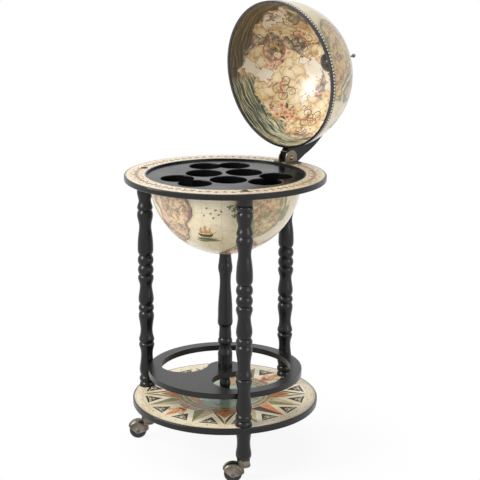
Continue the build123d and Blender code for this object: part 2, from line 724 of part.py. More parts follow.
# ---------------------------------------------------------------- lower bowl and its screws
bowl_rim_rise = flange_bottom - bowl_centre
with BuildPart() as lower_bowl:
    with BuildSketch(Plane(origin=(0, 0, bowl_centre), x_dir=(1, 0, 0), z_dir=(0, -1, 0))):
        with BuildLine():
            skin = CenterArc((0, 0), globe_radius, -90, 90)
            back = CenterArc((0, 0), bowl_inner_radius, -90, 90)
            Line(skin @ 0, back @ 0)
            Polyline(
                skin @ 1,
                (globe_radius, bowl_rim_rise),
                (flange_radius, bowl_rim_rise),
                (flange_radius, bowl_rim_rise + bowl_flange_thickness),
                (bowl_inner_radius, bowl_rim_rise + bowl_flange_thickness),
                back @ 1,
            )
        make_face()
    revolve(axis=Axis.Z)
    with BuildSketch(Plane.XY.offset(bowl_bottom - globe_wall)):
        Circle(bowl_screw_radius + screw_gap)
    extrude(amount=3 * globe_wall, mode=Mode.SUBTRACT)
    with BuildSketch(Plane.XY.offset(deck_bottom)):
        with PolarLocations(rim_screw_circle, rim_screw_count, rim_screw_first_angle):
            Circle(rim_screw_radius + screw_gap)
    extrude(amount=-bowl_flange_thickness, mode=Mode.SUBTRACT)
    with PolarLocations(rim_screw_circle, rim_screw_count, rim_screw_first_angle):
        with Locations((0, 0, deck_bottom)):
            Cone(
                rim_screw_radius + screw_gap,
                rim_screw_head_radius + screw_gap,
                rim_screw_head_radius - rim_screw_radius,
                align=(Align.CENTER, Align.CENTER, Align.MAX),
                mode=Mode.SUBTRACT,
            )
save(lower_bowl, "lower_bowl")

with BuildPart() as bowl_rim_screws:
    with PolarLocations(rim_screw_circle, rim_screw_count, rim_screw_first_angle):
        with Locations((0, 0, deck_bottom - fit_gap)):
            Cylinder(
                rim_screw_radius,
                deck_bottom - ring_bottom - stud_end_gap,
                align=(Align.CENTER, Align.CENTER, Align.MAX),
            )
            Cone(
                rim_screw_radius,
                rim_screw_head_radius,
                rim_screw_head_radius - rim_screw_radius,
                align=(Align.CENTER, Align.CENTER, Align.MAX),
            )
save(bowl_rim_screws, "bowl_rim_screws")

bowl_screw_seat = bowl_centre - sqrt(bowl_inner_radius**2 - bowl_screw_head_radius**2) + fit_gap
with BuildPart() as bowl_screw:
    with Locations((0, 0, bowl_screw_seat)):
        Cylinder(
            bowl_screw_radius,
            globe_wall + bowl_screw_length - stud_end_gap,
            align=(Align.CENTER, Align.CENTER, Align.MAX),
        )
        Cylinder(
            bowl_screw_head_radius,
            bowl_screw_head_height,
            align=(Align.CENTER, Align.CENTER, Align.MIN),
        )
    with Locations((0, 0, bowl_screw_seat + bowl_screw_head_height)):
        Box(
            2 * bowl_screw_head_radius,
            bowl_screw_slot,
            bowl_screw_slot,
            align=(Align.CENTER, Align.CENTER, Align.MAX),
            mode=Mode.SUBTRACT,
        )
save(bowl_screw, "bowl_screw")

# ---------------------------------------------------------------- drinks tray
bottle_angles = [first_bottle_well_angle + set_turn * i for i in range(well_sets)]
glass_angles = [
    first_glass_well_angle + set_turn * i + side * glass_well_half_spread
    for i in range(well_sets)
    for side in (-1, 1)
]
bottle_places = [at_angle(bottle_well_circle, a) for a in bottle_angles]
glass_places = [at_angle(glass_well_circle, a) for a in glass_angles]

with BuildPart() as drinks_tray:
    with BuildSketch(Plane.XY.offset(deck_bottom)):
        Circle(tray_radius)
    extrude(amount=tray_thickness)
    with BuildSketch(Plane.XY.offset(deck_top)):
        with Locations(*bottle_places):
            Circle(bottle_well_radius + well_wall)
    extrude(amount=-(bottle_well_depth + well_wall))
    with BuildSketch(Plane.XY.offset(deck_top)):
        with Locations(*glass_places):
            Circle(glass_well_radius + well_wall)
    extrude(amount=-(glass_well_depth + well_wall))
    with BuildSketch(Plane.XY.offset(deck_top)):
        with Locations(*bottle_places):
            Circle(bottle_well_radius)
    extrude(amount=-bottle_well_depth, mode=Mode.SUBTRACT)
    with BuildSketch(Plane.XY.offset(deck_top)):
        with Locations(*glass_places):
            Circle(glass_well_radius)
    extrude(amount=-glass_well_depth, mode=Mode.SUBTRACT)
    well_lips = drinks_tray.faces().filter_by(Axis.Z).sort_by(Axis.Z)[-1].inner_wires()
    fillet(well_lips.edges(), well_lip_round)
save(drinks_tray, "drinks_tray")

# ---------------------------------------------------------------- hinge brackets, bolt and nut
bracket_inner = arm_thickness / 2 + seat_gap
bracket_outer = bracket_inner + bracket_thickness
for name, side in (("left", -1), ("right", 1)):
    inner_face = Plane(
        origin=(side * bracket_inner, hinge_distance, ring_top), x_dir=(0, side, 0), z_dir=(side, 0, 0)
    )
    foot_middle = side * (bracket_inner + bracket_foot_length / 2)
    with BuildPart() as bracket:
        with BuildSketch(inner_face):
            with BuildLine():
                Polyline(
                    (-bracket_half_width, hinge_height),
                    (-bracket_half_width, 0),
                    (bracket_half_width, 0),
                    (bracket_half_width, hinge_height),
                )
                ThreePointArc(
                    (bracket_half_width, hinge_height),
                    (0, hinge_height + bracket_half_width),
                    (-bracket_half_width, hinge_height),
                )
            make_face()
            with Locations((0, hinge_height)):
                Circle(hinge_bolt_radius + fit_gap, mode=Mode.SUBTRACT)
        extrude(amount=bracket_thickness)
        with BuildSketch(Plane(origin=(foot_middle, hinge_distance, ring_top))):
            Rectangle(bracket_foot_length, 2 * bracket_half_width)
        extrude(amount=bracket_thickness)
        outer_corners = bracket.edges().filter_by(Axis.Z).sort_by(Axis.X)
        fillet(outer_corners[:2] if side < 0 else outer_corners[-2:], bracket_corner_round)
        with BuildSketch(Plane.XY.offset(ring_top)):
            with Locations(bracket_screw_places[0 if side < 0 else 1]):
                Circle(wood_screw_radius + screw_gap)
        extrude(amount=bracket_thickness, mode=Mode.SUBTRACT)
    save(bracket, f"hinge_bracket_{name}")

with BuildPart() as bracket_screws:
    for place in bracket_screw_places:
        with Locations((place[0], place[1], ring_top + bracket_thickness)):
            Cylinder(
                wood_screw_radius,
                bracket_thickness + wood_screw_length,
                align=(Align.CENTER, Align.CENTER, Align.MAX),
            )
        with BuildSketch(
            Plane(
                origin=(place[0], place[1], ring_top + bracket_thickness),
                x_dir=(1, 0, 0),
                z_dir=(0, -1, 0),
            )
        ):
            with BuildLine():
                Polyline((0, wood_screw_head_height), (0, 0), (wood_screw_head_radius, 0))
                dome_arc(wood_screw_head_radius, wood_screw_head_height, 0)
            make_face()
        revolve(axis=Axis((place[0], place[1], 0), (0, 0, 1)))
save(bracket_screws, "bracket_screws")

bolt_line = Axis((0, hinge_distance, pivot_z), (1, 0, 0))
bolt_tail = -bracket_outer - hinge_nut_height - hinge_bolt_overrun
with BuildPart() as hinge_bolt:
    with BuildSketch(Plane(origin=(0, hinge_distance, pivot_z), x_dir=(0, 1, 0), z_dir=(0, 0, -1))):
        with BuildLine():
            Polyline(
                (0, bracket_outer + hinge_head_height),
                (0, bolt_tail),
                (hinge_bolt_radius, bolt_tail),
                (hinge_bolt_radius, bracket_outer),
                (hinge_head_radius, bracket_outer),
            )
            dome_arc(hinge_head_radius, hinge_head_height, bracket_outer)
        make_face()
    revolve(axis=bolt_line)
save(hinge_bolt, "hinge_bolt")

with BuildPart() as hinge_nut:
    with BuildSketch(
        Plane(origin=(-bracket_outer, hinge_distance, pivot_z), x_dir=(0, 1, 0), z_dir=(-1, 0, 0))
    ):
        RegularPolygon(hinge_nut_width / 2, 6, major_radius=False)
        Circle(hinge_bolt_radius + fit_gap, mode=Mode.SUBTRACT)
    extrude(amount=hinge_nut_height)
save(hinge_nut, "hinge_nut")


# ---------------------------------------------------------------- lid: shell, lining, rim hoop
def lid_radial(angle, distance):
    """A plane square to the lid's radius at an angle above its rim, in the arm's plane."""
    outward = lid_side.x_dir * cos(radians(angle)) + lid_side.y_dir * sin(radians(angle))
    return Plane(origin=lid_side.origin + outward * distance, x_dir=(1, 0, 0), z_dir=outward)


hoop_top = hoop_height - rim_drop
shank_hole = finial_shank_radius + screw_gap
shell_outline = dome_outline(globe_radius, lid_inner_radius, hoop_top, hoop_top, shank_hole)
with BuildPart() as lid_shell:
    with BuildSketch(lid_side):
        make_face(shell_outline)
    revolve(axis=lid_axis)
    for angle in arm_screw_angles:
        with BuildSketch(lid_radial(angle, lid_inner_radius - globe_wall)):
            Circle(arm_screw_radius + screw_gap)
        extrude(amount=3 * globe_wall, mode=Mode.SUBTRACT)
        with BuildSketch(lid_radial(angle, lid_inner_radius)):
            Circle(arm_screw_head_radius + screw_gap)
        extrude(amount=arm_screw_head_height + screw_gap, taper=45, mode=Mode.SUBTRACT)
save(lid_shell, "lid_shell")

lining_outline = dome_outline(lining_radius, lining_inner_radius, hoop_top, hoop_top, shank_hole)
with BuildPart() as lid_lining:
    with BuildSketch(lid_side):
        make_face(lining_outline)
    revolve(axis=lid_axis)
save(lid_lining, "lid_lining")

with BuildPart() as lid_rim_hoop:
    with BuildSketch(lid_side):
        with Locations((globe_radius, -rim_drop)):
            Rectangle(hoop_width, hoop_height, align=(Align.MAX, Align.MIN))
        with Locations((globe_radius, hoop_top - hoop_height / 2)):
            Rectangle(2 * hoop_groove, hoop_groove, mode=Mode.SUBTRACT)
    revolve(axis=lid_axis)
save(lid_rim_hoop, "lid_rim_hoop")

# ---------------------------------------------------------------- meridian arm
arm_bottom = pivot_from_lid[1] - arm_end_radius
nose_start = arm_inner_radius + arm_nose_chamfer
nose_height = arm_bottom + arm_nose_chamfer
pivot_angle = degrees(atan2(pivot_from_lid[1], pivot_from_lid[0]))
arm_top_inner = sqrt(arm_inner_radius**2 - arm_overrun**2)
arm_top_outer = sqrt(arm_radius**2 - arm_overrun**2)
nose_inner = (sqrt(arm_inner_radius**2 - nose_height**2), nose_height)
heel_normal = (sin(open_turn), -cos(open_turn))
heel_along = (cos(open_turn), sin(open_turn))
heel_start = (
    pivot_from_lid[0] + arm_end_radius * heel_normal[0],
    pivot_from_lid[1] + arm_end_radius * heel_normal[1],
)
heel_end = (
    heel_start[0] + heel_length * heel_along[0],
    heel_start[1] + heel_length * heel_along[1],
)
heel_angle = pivot_angle + degrees(heel_run / arm_radius)
heel_back = (arm_radius * cos(radians(heel_angle)), arm_radius * sin(radians(heel_angle)))
end_middle_angle = radians((-90.0 + lid_open_angle - 90.0) / 2)
end_middle = (
    pivot_from_lid[0] + arm_end_radius * cos(end_middle_angle),
    pivot_from_lid[1] + arm_end_radius * sin(end_middle_angle),
)
top_middle_angle = radians((heel_angle + 90.0) / 2)

with BuildPart() as meridian_arm:
    with BuildSketch(lid_side):
        with BuildLine():
            Polyline(nose_inner, (nose_start, arm_bottom), (pivot_from_lid[0], arm_bottom))
            ThreePointArc((pivot_from_lid[0], arm_bottom), end_middle, heel_start)
            Polyline(heel_start, heel_end, heel_back)
            ThreePointArc(
                heel_back,
                (arm_radius * cos(top_middle_angle), arm_radius * sin(top_middle_angle)),
                (-arm_overrun, arm_top_outer),
            )
            Line((-arm_overrun, arm_top_outer), (-arm_overrun, arm_top_inner))
            ThreePointArc(
                (-arm_overrun, arm_top_inner),
                (arm_inner_radius * cos(radians(45)), arm_inner_radius * sin(radians(45))),
                nose_inner,
            )
        make_face()
    extrude(amount=arm_thickness / 2, both=True)
    fillet(meridian_arm.faces().filter_by(Axis.X).edges(), arm_edge_round)
    with BuildSketch(Plane(origin=(0, hinge_distance, pivot_z), x_dir=(0, 1, 0), z_dir=(1, 0, 0))):
        Circle(hinge_bolt_radius + fit_gap)
    extrude(amount=arm_thickness, both=True, mode=Mode.SUBTRACT)
    with BuildSketch(lid_radial(90, arm_inner_radius - globe_wall)):
        Circle(finial_shank_radius + fit_gap)
    extrude(amount=2 * (arm_radius - arm_inner_radius), mode=Mode.SUBTRACT)
    for angle in arm_screw_angles:
        with BuildSketch(lid_radial(angle, arm_inner_radius - globe_wall)):
            Circle(arm_screw_radius + fit_gap)
        extrude(amount=globe_wall + arm_screw_length, mode=Mode.SUBTRACT)
save(meridian_arm, "meridian_arm")

with BuildPart() as arm_screws:
    for angle in arm_screw_angles:
        head_face = lid_radial(angle, lid_inner_radius + fit_gap)
        with BuildSketch(head_face):
            Circle(arm_screw_radius)
        extrude(amount=arm_screw_length)
        with BuildSketch(head_face):
            Circle(arm_screw_head_radius)
        extrude(amount=arm_screw_head_height, taper=45)
save(arm_screws, "arm_screws")

# ---------------------------------------------------------------- finial, pole plate and nut
pole_plate_outer = lining_inner_radius - seat_gap
pole_plate_inner = pole_plate_outer - pole_plate_thickness
plate_outer_low = sqrt(pole_plate_outer**2 - pole_plate_radius**2)
plate_inner_low = sqrt(pole_plate_inner**2 - pole_plate_radius**2)
nut_top = pole_plate_inner - seat_gap
nut_bottom = nut_top - pole_nut_height
finial_seat = arm_radius
ball_centre = finial_seat + finial_length + finial_ball_radius
finial_waist = finial_seat + finial_collar_height + 1.5
finial_bulge = finial_seat + 0.4 * finial_body_length

with BuildPart() as pole_finial:
    with BuildSketch(lid_side):
        with BuildLine():
            Polyline(
                (0, nut_bottom - pole_shank_overrun),
                (finial_shank_radius, nut_bottom - pole_shank_overrun),
                (finial_shank_radius, finial_seat),
                (finial_collar_radius, finial_seat),
                (finial_collar_radius, finial_seat + finial_collar_height),
                (finial_shank_radius, finial_waist),
            )
            Spline(
                (finial_shank_radius, finial_waist),
                (finial_body_radius, finial_bulge),
                (finial_neck_radius, finial_seat + finial_body_length),
            )
            Polyline(
                (finial_neck_radius, finial_seat + finial_body_length),
                (finial_neck_radius, ball_centre),
                (0, ball_centre),
                (0, nut_bottom - pole_shank_overrun),
            )
        make_face()
    revolve(axis=lid_axis)
    with Locations(lid_radial(90, ball_centre)):
        Sphere(finial_ball_radius)
save(pole_finial, "pole_finial")

plate_outline = dome_outline(
    pole_plate_outer, pole_plate_inner, plate_outer_low, plate_inner_low, shank_hole
)
with BuildPart() as pole_plate:
    with BuildSketch(lid_side):
        make_face(plate_outline)
    revolve(axis=lid_axis)
save(pole_plate, "pole_plate")

nut_shoulder = (0.85 * pole_nut_radius, nut_top - 0.68 * pole_nut_height)
with BuildPart() as pole_nut:
    with BuildSketch(lid_side):
        with BuildLine():
            Polyline(
                (finial_shank_radius + fit_gap, nut_bottom),
                (finial_shank_radius + fit_gap, nut_top),
                (pole_nut_radius, nut_top),
                (pole_nut_radius, nut_top - pole_nut_edge),
            )
            ThreePointArc(
                (pole_nut_radius, nut_top - pole_nut_edge),
                nut_shoulder,
                (finial_shank_radius + fit_gap, nut_bottom),
            )
        make_face()
    revolve(axis=lid_axis)
save(pole_nut, "pole_nut")

# ---------------------------------------------------------------- casters
hood_radius = wheel_radius + hood_gap + hood_wall
hood_cavity_radius = wheel_radius + hood_gap
hood_cavity_width = wheel_hub_width + 2 * hood_side_gap
hood_width = hood_cavity_width + 2 * hood_wall
stem_flange_bottom = caster_height - stem_flange_thickness
cup_top = stem_flange_bottom - seat_gap
stem_head_bottom = cup_bottom - seat_gap - stem_head_height
trail = (cos(radians(caster_trail_angle)), sin(radians(caster_trail_angle)), 0)
axle_direction = Vector(*trail).cross(Vector(0, 0, 1))
hood_sweep = hood_back_angle - hood_tip_angle

with BuildPart() as caster_stems:
    for angle in leg_angles:
        foot = at_angle(leg_circle_radius, angle)
        with BuildSketch(Plane(origin=foot, x_dir=(1, 0, 0), z_dir=(0, -1, 0))):
            with BuildLine():
                Polyline(
                    (0, stem_head_bottom),
                    (stem_head_radius, stem_head_bottom),
                    (stem_head_radius, stem_head_bottom + stem_head_height),
                    (stem_radius, stem_head_bottom + stem_head_height),
                    (stem_radius, stem_flange_bottom),
                    (stem_flange_radius, stem_flange_bottom),
                    (stem_flange_radius, caster_height),
                    (stem_radius, caster_height),
                    (stem_radius, caster_height + stem_depth - stud_end_gap),
                    (0, caster_height + stem_depth - stud_end_gap),
                    (0, stem_head_bottom),
                )
            make_face()
        revolve(axis=Axis(foot, (0, 0, 1)))
save(caster_stems, "caster_stems")

for name, angle in zip(leg_names, leg_angles):
    swivel = at_angle(leg_circle_radius, angle)
    axle_centre = (
        swivel[0] + caster_trail * trail[0],
        swivel[1] + caster_trail * trail[1],
        wheel_radius,
    )
    axle_side = Plane(origin=axle_centre, x_dir=trail, z_dir=axle_direction)
    axle_line = Axis(axle_centre, axle_direction)

    with BuildPart() as wheel_space:
        with BuildSketch(axle_side):
            Circle(hood_cavity_radius)
        extrude(amount=hood_cavity_width / 2, both=True)
        fillet(wheel_space.edges().filter_by(GeomType.CIRCLE), hood_cavity_round)
        with BuildSketch(axle_side):
            Rectangle(hood_cavity_radius, hood_cavity_radius, align=(Align.CENTER, Align.MAX))
        extrude(amount=hood_cavity_width / 2, both=True)

    with BuildPart() as hood:
        with BuildSketch(axle_side):
            with BuildLine():
                CenterArc((0, 0), hood_radius, hood_tip_angle, hood_sweep)
                CenterArc((0, 0), hood_point_radius, 0, 360)
            make_hull()
        extrude(amount=hood_width / 2, both=True)
        dome_edges = hood.edges().filter_by(GeomType.CIRCLE).sort_by(SortBy.RADIUS)[-2:]
        fillet(dome_edges, hood_shoulder_round)
        with BuildSketch(Plane(origin=(swivel[0], swivel[1], cup_bottom))):
            Circle(cup_radius)
        extrude(amount=cup_top - cup_bottom)
        with BuildSketch(Plane(origin=(swivel[0], swivel[1], cup_bottom))):
            Circle(cup_lip_radius)
        extrude(amount=cup_lip_height)
        add(wheel_space.part, mode=Mode.SUBTRACT)
        with BuildSketch(Plane(origin=(swivel[0], swivel[1], cup_top))):
            Circle(stem_radius + fit_gap)
        extrude(amount=-(cup_top - stem_head_bottom), mode=Mode.SUBTRACT)
        with BuildSketch(Plane(origin=(swivel[0], swivel[1], cup_bottom))):
            Circle(stem_head_radius + seat_gap)
        extrude(amount=-(stem_head_height + 2 * seat_gap), mode=Mode.SUBTRACT)
        with BuildSketch(axle_side):
            Circle(axle_radius + fit_gap)
        extrude(amount=hood_width, both=True, mode=Mode.SUBTRACT)
    save(hood, f"caster_hood_{name}")

    with BuildPart() as axle:
        with BuildSketch(Plane(origin=axle_centre, x_dir=trail, z_dir=Vector(0, 0, -1))):
            with BuildLine():
                Polyline(
                    (0, hood_width / 2 + axle_head_height),
                    (0, 0),
                    (axle_radius, 0),
                    (axle_radius, hood_width / 2),
                    (axle_head_radius, hood_width / 2),
                )
                dome_arc(axle_head_radius, axle_head_height, hood_width / 2)
            make_face()
        revolve(axis=axle_line)
        mirror(about=axle_side)
    save(axle, f"caster_axle_{name}")

    with BuildPart() as wheel:
        with BuildSketch(axle_side):
            Circle(wheel_radius)
        extrude(amount=wheel_width / 2, both=True)
        fillet(wheel.edges(), wheel_tread_round)
        with BuildSketch(axle_side):
            Circle(wheel_hub_radius)
        extrude(amount=wheel_hub_width / 2, both=True)
        with BuildSketch(axle_side):
            Circle(axle_radius + fit_gap)
        extrude(amount=wheel_hub_width, both=True, mode=Mode.SUBTRACT)
    save(wheel, f"caster_wheel_{name}")
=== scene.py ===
import json
import math

import bmesh
import bpy
import numpy as np
from mathutils import Matrix, Vector


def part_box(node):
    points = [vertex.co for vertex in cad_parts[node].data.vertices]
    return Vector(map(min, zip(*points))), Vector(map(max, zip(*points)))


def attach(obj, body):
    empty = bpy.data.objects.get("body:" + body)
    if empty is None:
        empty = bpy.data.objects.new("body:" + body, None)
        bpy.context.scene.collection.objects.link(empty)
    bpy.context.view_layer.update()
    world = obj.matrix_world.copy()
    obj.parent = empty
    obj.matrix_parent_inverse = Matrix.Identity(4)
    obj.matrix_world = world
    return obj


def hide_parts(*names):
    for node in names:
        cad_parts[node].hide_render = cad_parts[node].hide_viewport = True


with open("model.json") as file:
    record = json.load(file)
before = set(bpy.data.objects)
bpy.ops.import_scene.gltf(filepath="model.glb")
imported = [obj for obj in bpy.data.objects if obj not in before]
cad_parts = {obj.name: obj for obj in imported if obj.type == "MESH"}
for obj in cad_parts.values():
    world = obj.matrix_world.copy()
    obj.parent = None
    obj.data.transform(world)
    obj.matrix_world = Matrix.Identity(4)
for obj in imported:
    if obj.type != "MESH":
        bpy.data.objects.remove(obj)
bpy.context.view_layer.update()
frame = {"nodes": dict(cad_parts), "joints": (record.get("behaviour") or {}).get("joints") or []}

MM = 0.001
UP = Vector((0, 0, 1))

# ---- places worked out from the frame
nodes = frame["nodes"]
joints = {joint["name"]: joint for joint in frame["joints"]}
RING_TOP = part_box("horizon_ring")[1][2]
BASE_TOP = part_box("base_disc")[1][2]
DECK_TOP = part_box("drinks_tray")[1][2]
BOWL_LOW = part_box("lower_bowl")[0][2]
GLOBE_R = 0.1685
SHELL = 0.003
FLANGE = 0.0025
POLE_BORE = 0.0028
LINING_R = GLOBE_R - 0.0033
LINING_INNER = LINING_R - 0.001
BOWL_CENTRE = Vector((0, 0, BOWL_LOW + GLOBE_R))
PIVOT = Vector(joints["lid_hinge"]["pos_m"])
OPEN_TURN = math.radians(joints["lid_hinge"]["range_deg"][1])
LID_GAP = 0.0003
RIM_DROP = 0.0014
LID_EDGE = 0.0036
LID_CENTRE = Vector((0, 0, DECK_TOP + LID_GAP + RIM_DROP))
OPENING = Matrix.Translation(PIVOT) @ Matrix.Rotation(-OPEN_TURN, 4, "X") @ Matrix.Translation(-PIVOT)


def linked(name, data):
    """A new object in the scene."""
    thing = bpy.data.objects.new(name, data)
    bpy.context.scene.collection.objects.link(thing)
    return thing


# ---- camera
CAMERA_DISTANCE = 2.851
CAMERA_SIDE = 0.033
CAMERA_HEIGHT = 1.225
CAMERA_AZIMUTH = math.radians(47.14)
CAMERA_PITCH = 0.249
CAMERA_ROLL = 0.0047
FOCAL_PIXELS = 1307.0
FRAME_PIXELS = 480.0
SENSOR_MM = 36.0
LEVEL = Vector((-math.sin(CAMERA_AZIMUTH), math.cos(CAMERA_AZIMUTH), 0))
RIGHT = Vector((math.cos(CAMERA_AZIMUTH), math.sin(CAMERA_AZIMUTH), 0))


def make_camera():
    """The photograph's view: looking a little down on the trolley from its right front."""
    forward = LEVEL * math.cos(CAMERA_PITCH) - UP * math.sin(CAMERA_PITCH)
    up = RIGHT.cross(forward)
    turned_right = RIGHT * math.cos(CAMERA_ROLL) + up * math.sin(CAMERA_ROLL)
    turned_up = up * math.cos(CAMERA_ROLL) - RIGHT * math.sin(CAMERA_ROLL)
    data = bpy.data.cameras.new("camera")
    data.sensor_width = SENSOR_MM
    data.lens = FOCAL_PIXELS / FRAME_PIXELS * SENSOR_MM
    data.clip_end = 50
    camera = linked("camera", data)
    axes = Matrix((turned_right, turned_up, -forward)).transposed().to_4x4()
    place = RIGHT * CAMERA_SIDE - LEVEL * CAMERA_DISTANCE + UP * CAMERA_HEIGHT
    camera.matrix_world = Matrix.Translation(place) @ axes
    bpy.context.scene.camera = camera


# ---- shader building
def srgb(code):
    """A linear colour from a hexadecimal sRGB code."""
    channels = [int(code[i : i + 2], 16) / 255 for i in (0, 2, 4)]
    linear = [c / 12.92 if c <= 0.04045 else ((c + 0.055) / 1.055) ** 2.4 for c in channels]
    return (*linear, 1.0)


class Shade:
    """Builds a node tree: each call adds a node and returns its output socket. Colours are sRGB codes."""

    def __init__(self, name, kind="materials"):
        self.owner = getattr(bpy.data, kind).new(name)
        self.owner.use_nodes = True
        self.tree = self.owner.node_tree
        self.tree.nodes.clear()

    def add(self, kind, inputs=None, out=0, **settings):
        node = self.tree.nodes.new("ShaderNode" + kind)
        for key, value in settings.items():
            setattr(node, key, value)
        for key, value in (inputs or {}).items():
            if isinstance(value, bpy.types.NodeSocket):
                self.tree.links.new(value, node.inputs[key])
            else:
                node.inputs[key].default_value = srgb(value) if isinstance(value, str) else value
        return node.outputs[out]

    def place(self):
        return self.add("TexCoord", out="Object")

    def field(self, name, out="Fac"):
        return self.add("Attribute", out=out, attribute_name=name)

    def edges(self):
        return self.add("NewGeometry", out="Pointiness")

    def math(self, operation, a, b=0.0):
        return self.add("Math", {0: a, 1: b}, operation=operation)

    def times(self, a, b):
        return self.math("MULTIPLY", a, b)

    def plus(self, a, b):
        return self.math("ADD", a, b)

    def minus(self, a, b):
        return self.math("SUBTRACT", a, b)

    def vector(self, operation, a, b=(0.0, 0.0, 0.0)):
        return self.add("VectorMath", {0: a, 1: b}, operation=operation)

    def split(self, vector, axes):
        return [self.add("SeparateXYZ", {"Vector": vector}, out=axis) for axis in axes]

    def step(self, value, low, high, start=0.0, end=1.0):
        """A smooth step of value from low to high, giving start to end."""
        return self.add(
            "MapRange",
            {"Value": value, "From Min": low, "From Max": high, "To Min": start, "To Max": end},
            interpolation_type="SMOOTHSTEP",
        )

    def band(self, value, middle, half, soft):
        """1 where value is within half of middle, falling off over soft."""
        away = self.math("ABSOLUTE", self.minus(value, middle))
        return self.step(away, half, half + soft, 1.0, 0.0)

    def noise(self, scale, detail, rough, warp=0.0, at=None, out="Fac"):
        at = self.place() if at is None else at
        inputs = {"Vector": at, "Scale": scale, "Detail": detail, "Roughness": rough, "Distortion": warp}
        return self.add("TexNoise", inputs, out=out)

    def sway(self, noise, amount):
        """A noise turned into a push of up to half of amount either way."""
        return self.times(self.minus(noise, 0.5), amount)

    def mix(self, amount, a, b):
        return self.add("Mix", {0: amount, 6: a, 7: b}, out=2, data_type="RGBA")

    def stain(self, colour, other, value, low, high, most=1.0):
        """Another colour laid over as value goes from low to high."""
        return self.mix(self.step(value, low, high, 0.0, most), colour, other)

    def line(self, colour, other, value, middle, half, soft):
        """A line of another colour where value is near middle."""
        return self.mix(self.band(value, middle, half, soft), colour, other)

    def ramp(self, value, *stops):
        node = self.tree.nodes.new("ShaderNodeValToRGB")
        self.tree.links.new(value, node.inputs[0])
        points = node.color_ramp.elements
        while len(points) < len(stops):
            points.new(0.5)
        for point, (where, code) in zip(points, stops):
            point.position = where
            point.color = srgb(code)
        return node.outputs[0]

    def bump(self, height, strength, distance=0.0004):
        return self.add("Bump", {"Height": height, "Strength": strength, "Distance": distance})

    def close(self, surface, kind="Material"):
        output = self.tree.nodes.new("ShaderNodeOutput" + kind)
        self.tree.links.new(surface, output.inputs["Surface"])
        return self.owner

    def finish(self, **inputs):
        """The surface itself, with the shader's inputs named by keywords."""
        named = {key.replace("_", " "): value for key, value in inputs.items()}
        return self.close(self.add("BsdfPrincipled", named))


# ---- plain materials
def lacquer_material():
    """Satin black lacquer over wood, with faint grain and slightly rubbed edges."""
    s = Shade("black_lacquer")
    grain = s.noise(260, 4, 0.6, 0.4, at=s.vector("MULTIPLY", s.place(), (1.0, 1.0, 0.12)))
    cloud = s.noise(14, 3, 0.55)
    colour = s.ramp(cloud, (0.3, "0b0b0c"), (0.75, "121213"))
    return s.finish(
        Base_Color=s.stain(colour, "302e2a", s.edges(), 0.54, 0.62, 0.12),
        Roughness=s.plus(s.step(grain, 0.3, 0.75, 0.27, 0.285), s.step(cloud, 0.35, 0.7, 0.0, 0.02)),
        Normal=s.bump(grain, 0.012),
        Specular_IOR_Level=0.36,
    )


def gloss_black_material(name, low, high, rough, mirror):
    """Glossy black moulded plastic with a faint orange-peel."""
    s = Shade(name)
    cloud = s.noise(18, 3, 0.5)
    return s.finish(
        Base_Color=s.ramp(cloud, (0.3, low), (0.7, high)),
        Roughness=s.step(cloud, 0.3, 0.7, rough, rough + 0.07),
        Normal=s.bump(s.noise(420, 2, 0.5), 0.05),
        Specular_IOR_Level=mirror,
        Coat_Weight=mirror,
        Coat_Roughness=0.08,
    )


def brass_material(name, dark, light, shine):
    """Antiqued bronze: soft dark clouds, rubbed paler on edges and high spots."""
    s = Shade(name)
    cloud = s.noise(42, 3, 0.5, 0.2)
    fine = s.noise(700, 2, 0.5)
    rubbed = s.plus(s.step(s.edges(), 0.50, 0.60, 0.0, 0.45), s.step(cloud, 0.35, 0.75, 0.25, 0.75))
    return s.finish(
        Base_Color=s.mix(s.math("MINIMUM", rubbed, 1.0), dark, light),
        Metallic=1.0,
        Roughness=s.step(cloud, 0.3, 0.75, shine + 0.08, shine - 0.04),
        Normal=s.bump(s.plus(s.times(cloud, 0.4), s.times(fine, 0.2)), 0.08),
    )


def plain_material(name, noise, tones, rough=None, bump=None, **rest):
    """A material from one noise: its tones, its roughness and its bump."""
    s = Shade(name)
    tone = s.noise(*noise)
    if rough:
        rest["Roughness"] = s.step(tone, *rough)
    if bump:
        rest["Normal"] = s.bump(tone, *bump)
    return s.finish(Base_Color=s.ramp(tone, *tones), **rest)


def rubber_material():
    """Black caster tyre, slightly dusty."""
    tones = (0.35, "151515"), (0.8, "2c2a28")
    return plain_material("wheel_rubber", (70, 4, 0.6), tones, (0.3, 0.8, 0.36, 0.55), (0.12, 0.0005))


def steel_material():
    """Zinc-plated screws and studs."""
    tones = (0.3, "8d8d8b"), (0.8, "b4b3af")
    return plain_material("steel", (300, 3, 0.5), tones, (0.3, 0.7, 0.3, 0.45), Metallic=1.0)


def beech_material():
    """Bare beech dowels."""
    tones = (0.3, "a9805a"), (0.7, "c9a37a")
    return plain_material("dowel_wood", (400, 4, 0.6, 1.0), tones, bump=(0.2,), Roughness=0.6)


def ink_set(start, inks, scale=160.0):
    """A printing ink with an uneven tone for each name, from its two tones and the scale of their noise."""
    made = {}
    for name, (colour, other, *own_scale) in inks.items():
        noise = (*(own_scale or [scale]), 3, 0.6)
        tones = (0.35, colour), (0.7, other)
        rough = (0.3, 0.7, 0.40, 0.48)
        made[name] = plain_material(start + name, noise, tones, rough, Specular_IOR_Level=0.22)
    return made


def paper(s, low, high, spots):
    """The colour of varnished old-looking paper: cream with foxing and darker clouds."""
    colour = s.ramp(s.noise(9, 5, 0.62), (0.32, low), (0.68, high))
    colour = s.stain(colour, "bf9f6b", s.noise(48, 4, 0.6), 0.55, 0.75, spots)
    return s.stain(colour, "9a7a4e", s.noise(330, 2, 0.5), 0.66, 0.74, spots)


